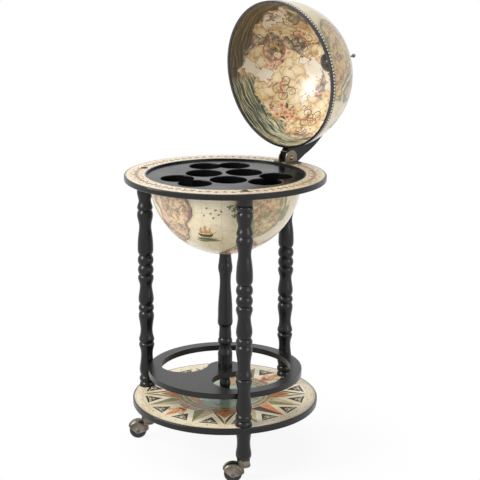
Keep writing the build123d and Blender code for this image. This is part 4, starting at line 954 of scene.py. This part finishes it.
# how far a point spreads to each side in degrees, and the radius of its shoulders
MAIN_POINT = (15.4, 112.0)
SMALL_POINT = (11.25, 125.0)
ROSETTE_RADIUS = 174.0
FLEUR_RADIUS = 122.0
TICK_RADIUS = 204.8
ROSE_INKS = {
    "white": ("efe4c8", "f7efda"), "dark": ("3a2a20", "54402f"), "olive": ("5b5630", "75703e"),
    "orange": ("cd7f42", "e2a068"), "green": ("77764c", "949062"), "grey": ("b8a985", "cdbf9a"),
    "cream": ("e2d6b8", "f0e5ca"), "black": ("251c15", "3a2e24"), "rust": ("a0643c", "b97e52"),
}
# the height in millimetres of each layer's inks, and of those that lie higher or lower
ROSE_LAYERS = {
    "base_rose_": (0.0, {"white": 0.06, "cream": 0.10}),
    "base_points_": (0.14, {"rust": 0.10, "white": 0.22}),
    "base_marks_": (0.0, {}),
}


def rose_azimuths(first=0, every=1):
    """The numbers and azimuths of some of the compass points."""
    return [(k, ROSE_TURN + k * POINT_STEP) for k in range(first, ROSE_POINTS, every)]


def rose_half(azimuth, side, spread, root):
    """Half of a compass point, from its axis to one side."""
    return [polar(ROSE_ROOT, azimuth), polar(root, azimuth + side * spread), polar(ROSE_TIP, azimuth)]


def rose_leaf(azimuth, side):
    """A half point with a curved inner edge, like half a pointed arch."""
    tip = Vector(polar(ROSE_TIP, azimuth))
    shoulder = Vector(polar(116.0, azimuth + side * 14.0))
    middle = Vector(polar(141.0, azimuth + side * 1.0))
    ts = [i / 8 for i in range(9)]
    return [tuple(tip * (1 - t) ** 2 + middle * 2 * t * (1 - t) + shoulder * t**2) for t in ts]


def rosette(cream, azimuth):
    """A small flower between two scrolls, in a dark triangle."""
    parts = [blossom(4.4, 5)]
    for side in (-1, 1):
        curl = scroll(4.2, 1.2, 90 + side * 90, -side, 1.3, 0.7, 16)
        parts.append(moved(curl, 0, (side * 8.6, 0.6)))
        parts.append(moved(leaf(7.0, 2.2, side * 0.8), 90 - side * 90, (side * 12.4, 2.6)))
    parts.append(moved(leaf(7.5, 2.6), -90, (0, -4.6)))
    for side in (-1, 1):
        parts.append(moved(leaf(6.5, 2.0), -90 + side * 38, (side * 2.6, -3.8)))
    cream.extend(about_axis(part, ROSETTE_RADIUS, azimuth) for part in parts)


def fleur(inks, azimuth):
    """A compass point drawn as a flower-de-luce."""
    put(inks, "orange", moved(leaf(50.0, 17.0), 90), 139.0, azimuth)
    for side in (-1, 1):
        wing = moved(leaf(34.0, 11.0, side * 5.0), 90 - side * 30)
        put(inks, "orange", moved(wing, 0, (side * 4.0, 0)), FLEUR_RADIUS, azimuth)
        curl = scroll(7.0, 1.1, 90 - side * 90, side, 3.2, 1.4, 16)
        put(inks, "rust", moved(curl, 0, (side * 15.0, 30.0)), FLEUR_RADIUS, azimuth)
    put(inks, "rust", moved(leaf(30.0, 9.0), 90), ROSE_ROOT, azimuth)
    put(inks, "dark", [(-11, 0), (11, 0), (9, 3.4), (-9, 3.4)], 134.0, azimuth)


def small_points(inks):
    """Eight two-toned points, and a dark triangle with a rosette in all sixteen gaps."""
    for k, azimuth in rose_azimuths():
        if k % 2:
            inks["green"].append(rose_half(azimuth, -1, *SMALL_POINT))
            inks["grey"].append(rose_half(azimuth, 1, *SMALL_POINT))
        gap = azimuth + POINT_STEP / 2
        corners = ((146.5, 0.0), (184.0, 6.9), (182.4, 0.0), (184.0, -6.9))
        inks["black"].append([polar(radius, gap + away) for radius, away in corners])
        rosette(inks["cream"], gap)


def main_points(inks):
    """Eight larger points: four arched ones, two plain ones and two flowers."""
    for k, azimuth in rose_azimuths(every=2):
        if k % 4 == 0:
            corners = ((ROSE_ROOT, -15), (150, 0), (ROSE_ROOT, 15))
            inks["rust"].append([polar(radius, azimuth + away) for radius, away in corners])
            inks["olive"].append(rose_leaf(azimuth, -1))
            inks["dark"].append(rose_leaf(azimuth, 1))
        elif k % 8 == 2:
            inks["orange"].append(rose_half(azimuth, 1, *MAIN_POINT))
            inks["dark"].append(rose_half(azimuth, -1, *MAIN_POINT))
        else:
            fleur(inks, azimuth)


def point_edges(outlines, first, spread, root):
    """White lines along both sides of every other point."""
    for _, azimuth in rose_azimuths(first, 2):
        for side in (-1, 1):
            ends = [polar(root, azimuth + side * spread), polar(ROSE_TIP + 1, azimuth)]
            outlines.append(stroke(ends, [2.2, 0.9]))


def degree_marks(inks):
    """Ticks round the border, with sprigs and small stars inside them."""
    for k in range(144):
        azimuth = ROSE_TURN + k * 2.5
        length = 2.6 if k % 9 == 0 else 1.4
        ends = [polar(TICK_RADIUS, azimuth), polar(TICK_RADIUS - length, azimuth)]
        inks["black"].append(stroke(ends, [0.5, 0.3]))
    for _, azimuth in rose_azimuths():
        for j in (-2, -1, 0, 1, 2):
            put(inks, "rust", leaf(3.6, 1.3), 199.2, azimuth + j * 1.15 - 0.5, 0)
        gap = azimuth + POINT_STEP / 2
        put(inks, "black", star(3.2, 1.0, 3), 193.6, gap, 30)
        for away in (-2.4, 2.4):
            put(inks, "rust", star(1.4, 0.6, 4), 197.6, gap + away)


def base_rose():
    """The sixteen-point compass rose, in three layers of ink."""
    layers = {layer: {ink: [] for ink in ROSE_INKS} for layer in ROSE_LAYERS}
    rose, points, marks = layers.values()
    small_points(rose)
    main_points(points)
    point_edges(rose["white"], 1, *SMALL_POINT)
    point_edges(points["white"], 0, *MAIN_POINT)
    degree_marks(marks)
    materials = ink_set("base_ink_", ROSE_INKS, 90.0)
    for layer, (level, others) in ROSE_LAYERS.items():
        for ink, outlines in layers[layer].items():
            if outlines:
                top = flat_surface(BASE_TOP, others.get(ink, level))
                lay(layer + ink, outlines, top, materials[ink], 0.08)


# ---- ornament on the globe
def sphere_surface(centre, radius, azimuth, rise, outward=1.0, carry=Matrix()):
    """A sphere to lay ink on, about a place given by azimuth and rise in degrees."""
    middle = Vector(on_sphere(azimuth + LON_OF_AZIMUTH, rise))
    east = UP.cross(middle).normalized()
    north = middle.cross(east)

    def surface(u, v, h):
        length = math.hypot(u, v)
        away = length / (radius / MM)
        side = (east * u + north * v) / length if length > 1e-9 else Vector((0, 0, 0))
        direction = middle * math.cos(away) + side * math.sin(away)
        place = carry @ (centre + direction * (radius + outward * h * MM))
        return tuple(c / MM for c in place)

    return surface


# each mast's place, height and the width of its sails
MASTS = ((-6.5, 11.0, 5.6), (0.0, 14.5, 7.0), (6.2, 10.5, 5.2))
HULL = [(-11, 0), (-12, 4), (-7.5, 2.4), (5.5, 2.2), (10.5, 4.6), (9.4, 0), (6.5, -3.2), (-7.5, -3.2)]
SHIP_SCALE = 1.55


def sailing_ship():
    """A small engraved ship: hull, three masts with sails, pennants and waves."""
    dark = [HULL]
    pale = []
    for x, height, width in MASTS:
        dark.append(stroke([(x, 2.2), (x, 2.6 + height)], [0.8, 0.5]))
        low, high, peak = height * 0.55 + 3, height * 0.6 + 3, height * 0.92 + 2.6
        foot = [(x - width / 2, 4.4), (x - width / 2.4, low)]
        head = [(x - width / 2.9, high), (x - width / 3.6, peak)]
        pale.append(foot + [(x + width / 2.2, low), (x + width / 2 + 1.2, 4.4)])
        pale.append(head + [(x + width / 3.6, peak), (x + width / 2.6, high)])
        dark.append([(x, 2.6 + height), (x + 4.2, 3.4 + height), (x, 4.0 + height)])
    dark.append(stroke([(9.8, 3.6), (15.5, 7.6)], [0.8, 0.4]))
    for row, (left, right) in enumerate(((-15, 13), (-12, 16), (-17, 9))):
        heights = [-4.6 - 1.8 * row + 0.5 * math.sin(i * 1.9) for i in range(17)]
        points = [(left + (right - left) * i / 16, height) for i, height in enumerate(heights)]
        dark.append(stroke(points, [0.45] * 17))
    return [[moved(outline, scale=SHIP_SCALE) for outline in part] for part in (dark, pale)]


# places as x, y and turn
ISLE_PLACES = [
    (-12, 9, 20), (-3, -3, 70), (7, 5, 10), (14, -6, 40), (20, 3, 120), (2, -14, 30), (-18, -9, 60),
]
GREEN_PLACES = [(-8, 6, 30), (2, 0, 70), (9, 10, 15), (14, -4, 100), (3, -14, 40)]
BOWL_INKS = {"ink": ("4a3828", "6a5238"), "sail": ("a9824f", "c9a268"), "green": ("5a6b48", "7a8455")}


def small_isles(places, scale=1.0):
    """Little clusters of pointed strokes: islands in the sea."""
    outlines = []
    for x, y, turn in places:
        for side, length in ((0, 5.0), (50, 3.2), (120, 3.8), (200, 2.6)):
            outlines.append(moved(leaf(length, 1.5, 0.5), turn + side, (x, y), scale))
        outlines.append(moved(disc(0.9, 8), 0, (x, y), scale))
    return outlines


def scale_bar():
    """Two lines with boxes between them and a star above."""
    lines = [stroke([(-16, height), (16, height)], [0.7, 0.7]) for height in (0, 2.6)]
    boxes = [[(x, 0), (x + 4, 0), (x + 4, 2.6), (x, 2.6)] for x in range(-16, 16, 8)]
    return lines + boxes + [about_axis(star(3.4, 1.0, 8), 6.5, 90)]


def bowl_ornament():
    """A ship on its patch of green sea, isles and a small scale bar, engraved on the bowl."""
    inks = ink_set("bowl_", BOWL_INKS)
    dark, pale = sailing_ship()
    swell = [
        moved(leaf(50.0, 9.0, 1.2), 0, (-26, 0)),
        moved(leaf(38.0, 6.0, -1.0), 0, (-28, -5.4)),
        moved(leaf(36.0, 5.0, 1.0), 0, (-4, -5.0)),
    ]
    # each piece with its azimuth and rise in degrees, its ink and its thickness in millimetres
    for name, outlines, azimuth, rise, ink, thickness in (
        ("bowl_swell", swell, -59.4, -40.2, "green", 0.08),
        ("bowl_ship_dark", dark, -59.4, -35.6, "ink", 0.12),
        ("bowl_ship_sails", pale, -59.4, -35.6, "sail", 0.16),
        ("bowl_isles", small_isles(ISLE_PLACES), -52.0, -14.0, "ink", 0.1),
        ("bowl_green_isles", small_isles(GREEN_PLACES, 2.2), -36.0, -12.0, "green", 0.1),
        ("bowl_scale_bar", scale_bar(), -100.0, -48.0, "ink", 0.1),
    ):
        place = sphere_surface(BOWL_CENTRE, GLOBE_R, azimuth, rise)
        lay(name, outlines, place, inks[ink], thickness)


def ring_arc(radius, start, end, width, step=3.0):
    """A thin band of a circle about the origin, between two angles in degrees."""
    count = max(2, int(abs(end - start) / step))
    angles = [start + (end - start) * i / count for i in range(count + 1)]
    outer = [polar(radius + width / 2, angle) for angle in angles]
    return outer + [polar(radius - width / 2, angle) for angle in reversed(angles)]


def crescent(radius, bite, points=28):
    """A moon outline: a circle with a smaller one taken from its +x side."""
    outer = [polar(radius, 40 + 280 * i / points) for i in range(points + 1)]
    x, y = outer[0]
    shift = x - math.sqrt(max(bite**2 - y**2, 0.0))
    turn = math.degrees(math.atan2(y, x - shift))
    inner = [polar(bite, -turn - (360 - 2 * turn) * i / points) for i in range(points + 1)]
    return outer + [(shift + a, b) for a, b in inner[1:-1]]


def ribbon(length, waves, swing, wide):
    """A waving band that tapers at both ends."""
    ts = [i / 30 for i in range(31)]
    path = [(length * (t - 0.5), swing * math.sin(2 * math.pi * waves * t)) for t in ts]
    return stroke(path, [0.5 + wide * math.sin(math.pi * t) for t in ts])


# each curl of wind as x, y, turn and hand
SCROLL_PLACES = [(0, 0, 0, 1), (17, 7, 50, -1), (-15, 9, 120, 1), (6, -18, 200, -1), (-13, -14, 280, 1)]
# the blossoms' places and radii, and the stars' places
HEADS = [(0, 0, 13), (21, 6, 10), (-20, 5, 11), (9, -17, 9), (-9, 18, 8)]
STARS = [(-14, 4), (-4, -9), (8, 7), (17, -6)]
WIND_PLACES = [(148, 45), (-140, 62), (96, 42)]
LID_INKS = {
    "gold": ("c98f4a", "e3b877"),
    "rose": ("a9604c", "cf8f70"),
    "peach": ("d9a17c", "f0cfa8", 70.0),
    "brown": ("4a3428", "6f5240"),
    "olive": ("4f4a38", "7d765a", 90.0),
}


def wind_scrolls(places):
    """A spray of curling strokes."""
    curl = scroll(13.0, 1.25, 180, 1, 2.2, 0.7, 26)
    return [moved(curl, turn, (x, y), 1.0, hand) for x, y, turn, hand in places]


def lid_pieces():
    """Each piece of the lid's art: name, outlines, azimuth and rise, ink and thickness."""
    yield "lid_moon_ring", [ring_arc(26.0, 20, 330, 3.4)], (-166, 41), "rose", 0.12
    yield "lid_moon_winds", wind_scrolls(SCROLL_PLACES[:3]), (-166, 41), "olive", 0.16
    yield "lid_moon", [moved(crescent(13.0, 10.5), 200)], (-166, 41), "gold", 0.2
    for k, place in enumerate(WIND_PLACES):
        yield "lid_winds_%d" % k, wind_scrolls(SCROLL_PLACES), place, "brown" if k else "olive", 0.1
        band = moved(ribbon(52.0, 1.2, 4.0, 4.5), 30 + 70 * k, (4, -8))
        yield "lid_ribbon_%d" % k, [band], place, "rose", 0.15
    leaves = [moved(leaf(20.0, 6.0, 2.0), 37 * i, (9 * math.cos(i), 9 * math.sin(i))) for i in range(9)]
    petals = [moved(blossom(r, 7, 0.6), 17 * r, (x, y)) for x, y, r in HEADS]
    hearts = [moved(blossom(r * 0.42, 5, 0.6), 0, (x, y)) for x, y, r in HEADS]
    yield "lid_garden_leaves", leaves, (124, 33), "olive", 0.1
    yield "lid_garden_petals", petals, (124, 33), "peach", 0.15
    yield "lid_garden_hearts", hearts, (124, 33), "rose", 0.2
    stars = [moved(star(3.6, 1.4, 5), 20 * x, (x, y)) for x, y in STARS]
    yield "lid_stars", stars, (60, 63), "rose", 0.12


def lid_art():
    """Moon, stars, blossoms, ribbons and curling winds inlaid on the lid's painted inside."""
    inks = ink_set("lid_ink_", LID_INKS)
    for name, outlines, place, ink, thickness in lid_pieces():
        surface = sphere_surface(LID_CENTRE, LINING_INNER, *place, -1.0, OPENING)
        lay(name, outlines, surface, inks[ink], thickness, "lid")


# ---- light and surroundings
FLOOR_HALF = 12.0
FLOOR_LEVEL = -0.0002
# the floor shows as white to the camera, a little less so near the trolley: radii in metres and shares
FADE = {"From Min": 0.18, "From Max": 0.50, "To Min": 0.91, "To Max": 1.0}
WORLD_LIGHT = 0.38
MIDDLE = Vector((0, 0, 0.55))
# each lamp's place, target, size in metres and power: a key from the left front, a small lamp far left
# that glows in the open lid, a fill and a top light
LAMPS = {
    "key": (-LEVEL * 1.5 - RIGHT * 2.5 + UP * 2.0, MIDDLE, 1.15, 80),
    "glow": (Vector((-2.05, -1.45, 2.95)), Vector((0.15, 0.11, 0.83)), 1.2, 52),
    "fill": (-LEVEL * 1.8 + RIGHT * 2.4 + UP * 1.2, MIDDLE, 1.6, 26),
    "top": (LEVEL * 0.2 + UP * 3.0, MIDDLE, 1.8, 14),
}


def background_rays(s):
    """1 for the rays that show the white background: straight, mirrored and through glass."""
    rays = s.tree.nodes.new("ShaderNodeLightPath").outputs
    bent = s.math("MAXIMUM", rays["Is Glossy Ray"], rays["Is Transmission Ray"])
    return s.math("MAXIMUM", rays["Is Camera Ray"], bent)


def floor_material():
    """A pale floor that keeps the object's shadow but shows white to the camera."""
    s = Shade("floor")
    away = s.add("VectorMath", {0: s.place()}, out="Value", operation="LENGTH")
    share = s.times(background_rays(s), s.add("MapRange", {"Value": away, **FADE}))
    pale = s.add("BsdfDiffuse", {"Color": (0.86, 0.86, 0.86, 1)})
    glow = s.add("Emission", {"Strength": 1.0})
    return s.close(s.add("MixShader", {0: share, 1: pale, 2: glow}))


def stage_floor():
    """A wide plain floor."""
    bm = bmesh.new()
    bmesh.ops.create_grid(bm, x_segments=8, y_segments=8, size=FLOOR_HALF)
    mesh = bpy.data.meshes.new("floor")
    bm.to_mesh(mesh)
    bm.free()
    floor = linked("floor", mesh)
    floor.location.z = FLOOR_LEVEL
    mesh.materials.append(floor_material())


def studio_world():
    """Even studio air: white to the camera and in reflections, dimmer as a light."""
    s = Shade("studio", "worlds")
    air = s.add("Background", {"Color": "ffffff", "Strength": WORLD_LIGHT})
    white = s.add("Background", {"Color": "ffffff", "Strength": 1.0})
    s.close(s.add("MixShader", {0: background_rays(s), 1: air, 2: white}), "World")
    bpy.context.scene.world = s.owner


def studio_lights():
    """Square studio lamps turned to their targets."""
    for name, (place, target, size, power) in LAMPS.items():
        data = bpy.data.lights.new(name, "AREA")
        data.size = size
        data.energy = power
        lamp = linked(name, data)
        lamp.location = place
        lamp.rotation_euler = (target - place).to_track_quat("-Z", "Y").to_euler()


# ---- dressing the CAD nodes
BRASS_STARTS = ("caster", "hinge", "bracket_screws", "pole")
STEEL_STARTS = ("leg_studs", "ring_screws", "post_stud", "bowl_screw", "bowl_rim_screws", "arm_screws")
# each look: the starts of its nodes' names, its maker and the maker's settings; the first that fits is used
NODE_LOOKS = [
    (("caster_wheel",), rubber_material),
    (("hinge_bracket",), brass_material, "bracket_brass", "37322a", "7d7464", 0.38),
    (("hinge_bolt",), brass_material, "polished_brass", "6b5a3c", "a8946a", 0.22),
    (BRASS_STARTS, brass_material, "antique_brass", "37322b", "958c7e", 0.28),
    (("leg_caps",), brass_material, "dark_bronze", "1f1a15", "5f5546", 0.34),
    (("drinks_tray",), gloss_black_material, "black_plastic", "0c0c0d", "131314", 0.20, 0.12),
    (("lid_rim_hoop",), gloss_black_material, "hoop_plastic", "141416", "1e1e20", 0.22, 0.5),
    (("ring_print",), ring_print_material),
    (("base_print",), base_print_material),
    (STEEL_STARTS, steel_material),
    (("shelf_dowels",), beech_material),
    (("",), lacquer_material),
]


def dress_nodes():
    """Gives every CAD node its material."""
    made = {}
    for name, node in nodes.items():
        starts, maker, *settings = next(look for look in NODE_LOOKS if name.startswith(look[0]))
        if starts not in made:
            made[starts] = maker(*settings)
        for slot in node.material_slots:
            slot.material = made[starts]


# ---- the scene
bpy.context.scene.view_settings.view_transform = "Standard"
make_camera()
dress_nodes()
globe_bowl()
globe_lid()
fresco()
ring_ornament()
base_rose()
bowl_ornament()
lid_art()
stage_floor()
studio_world()
studio_lights()
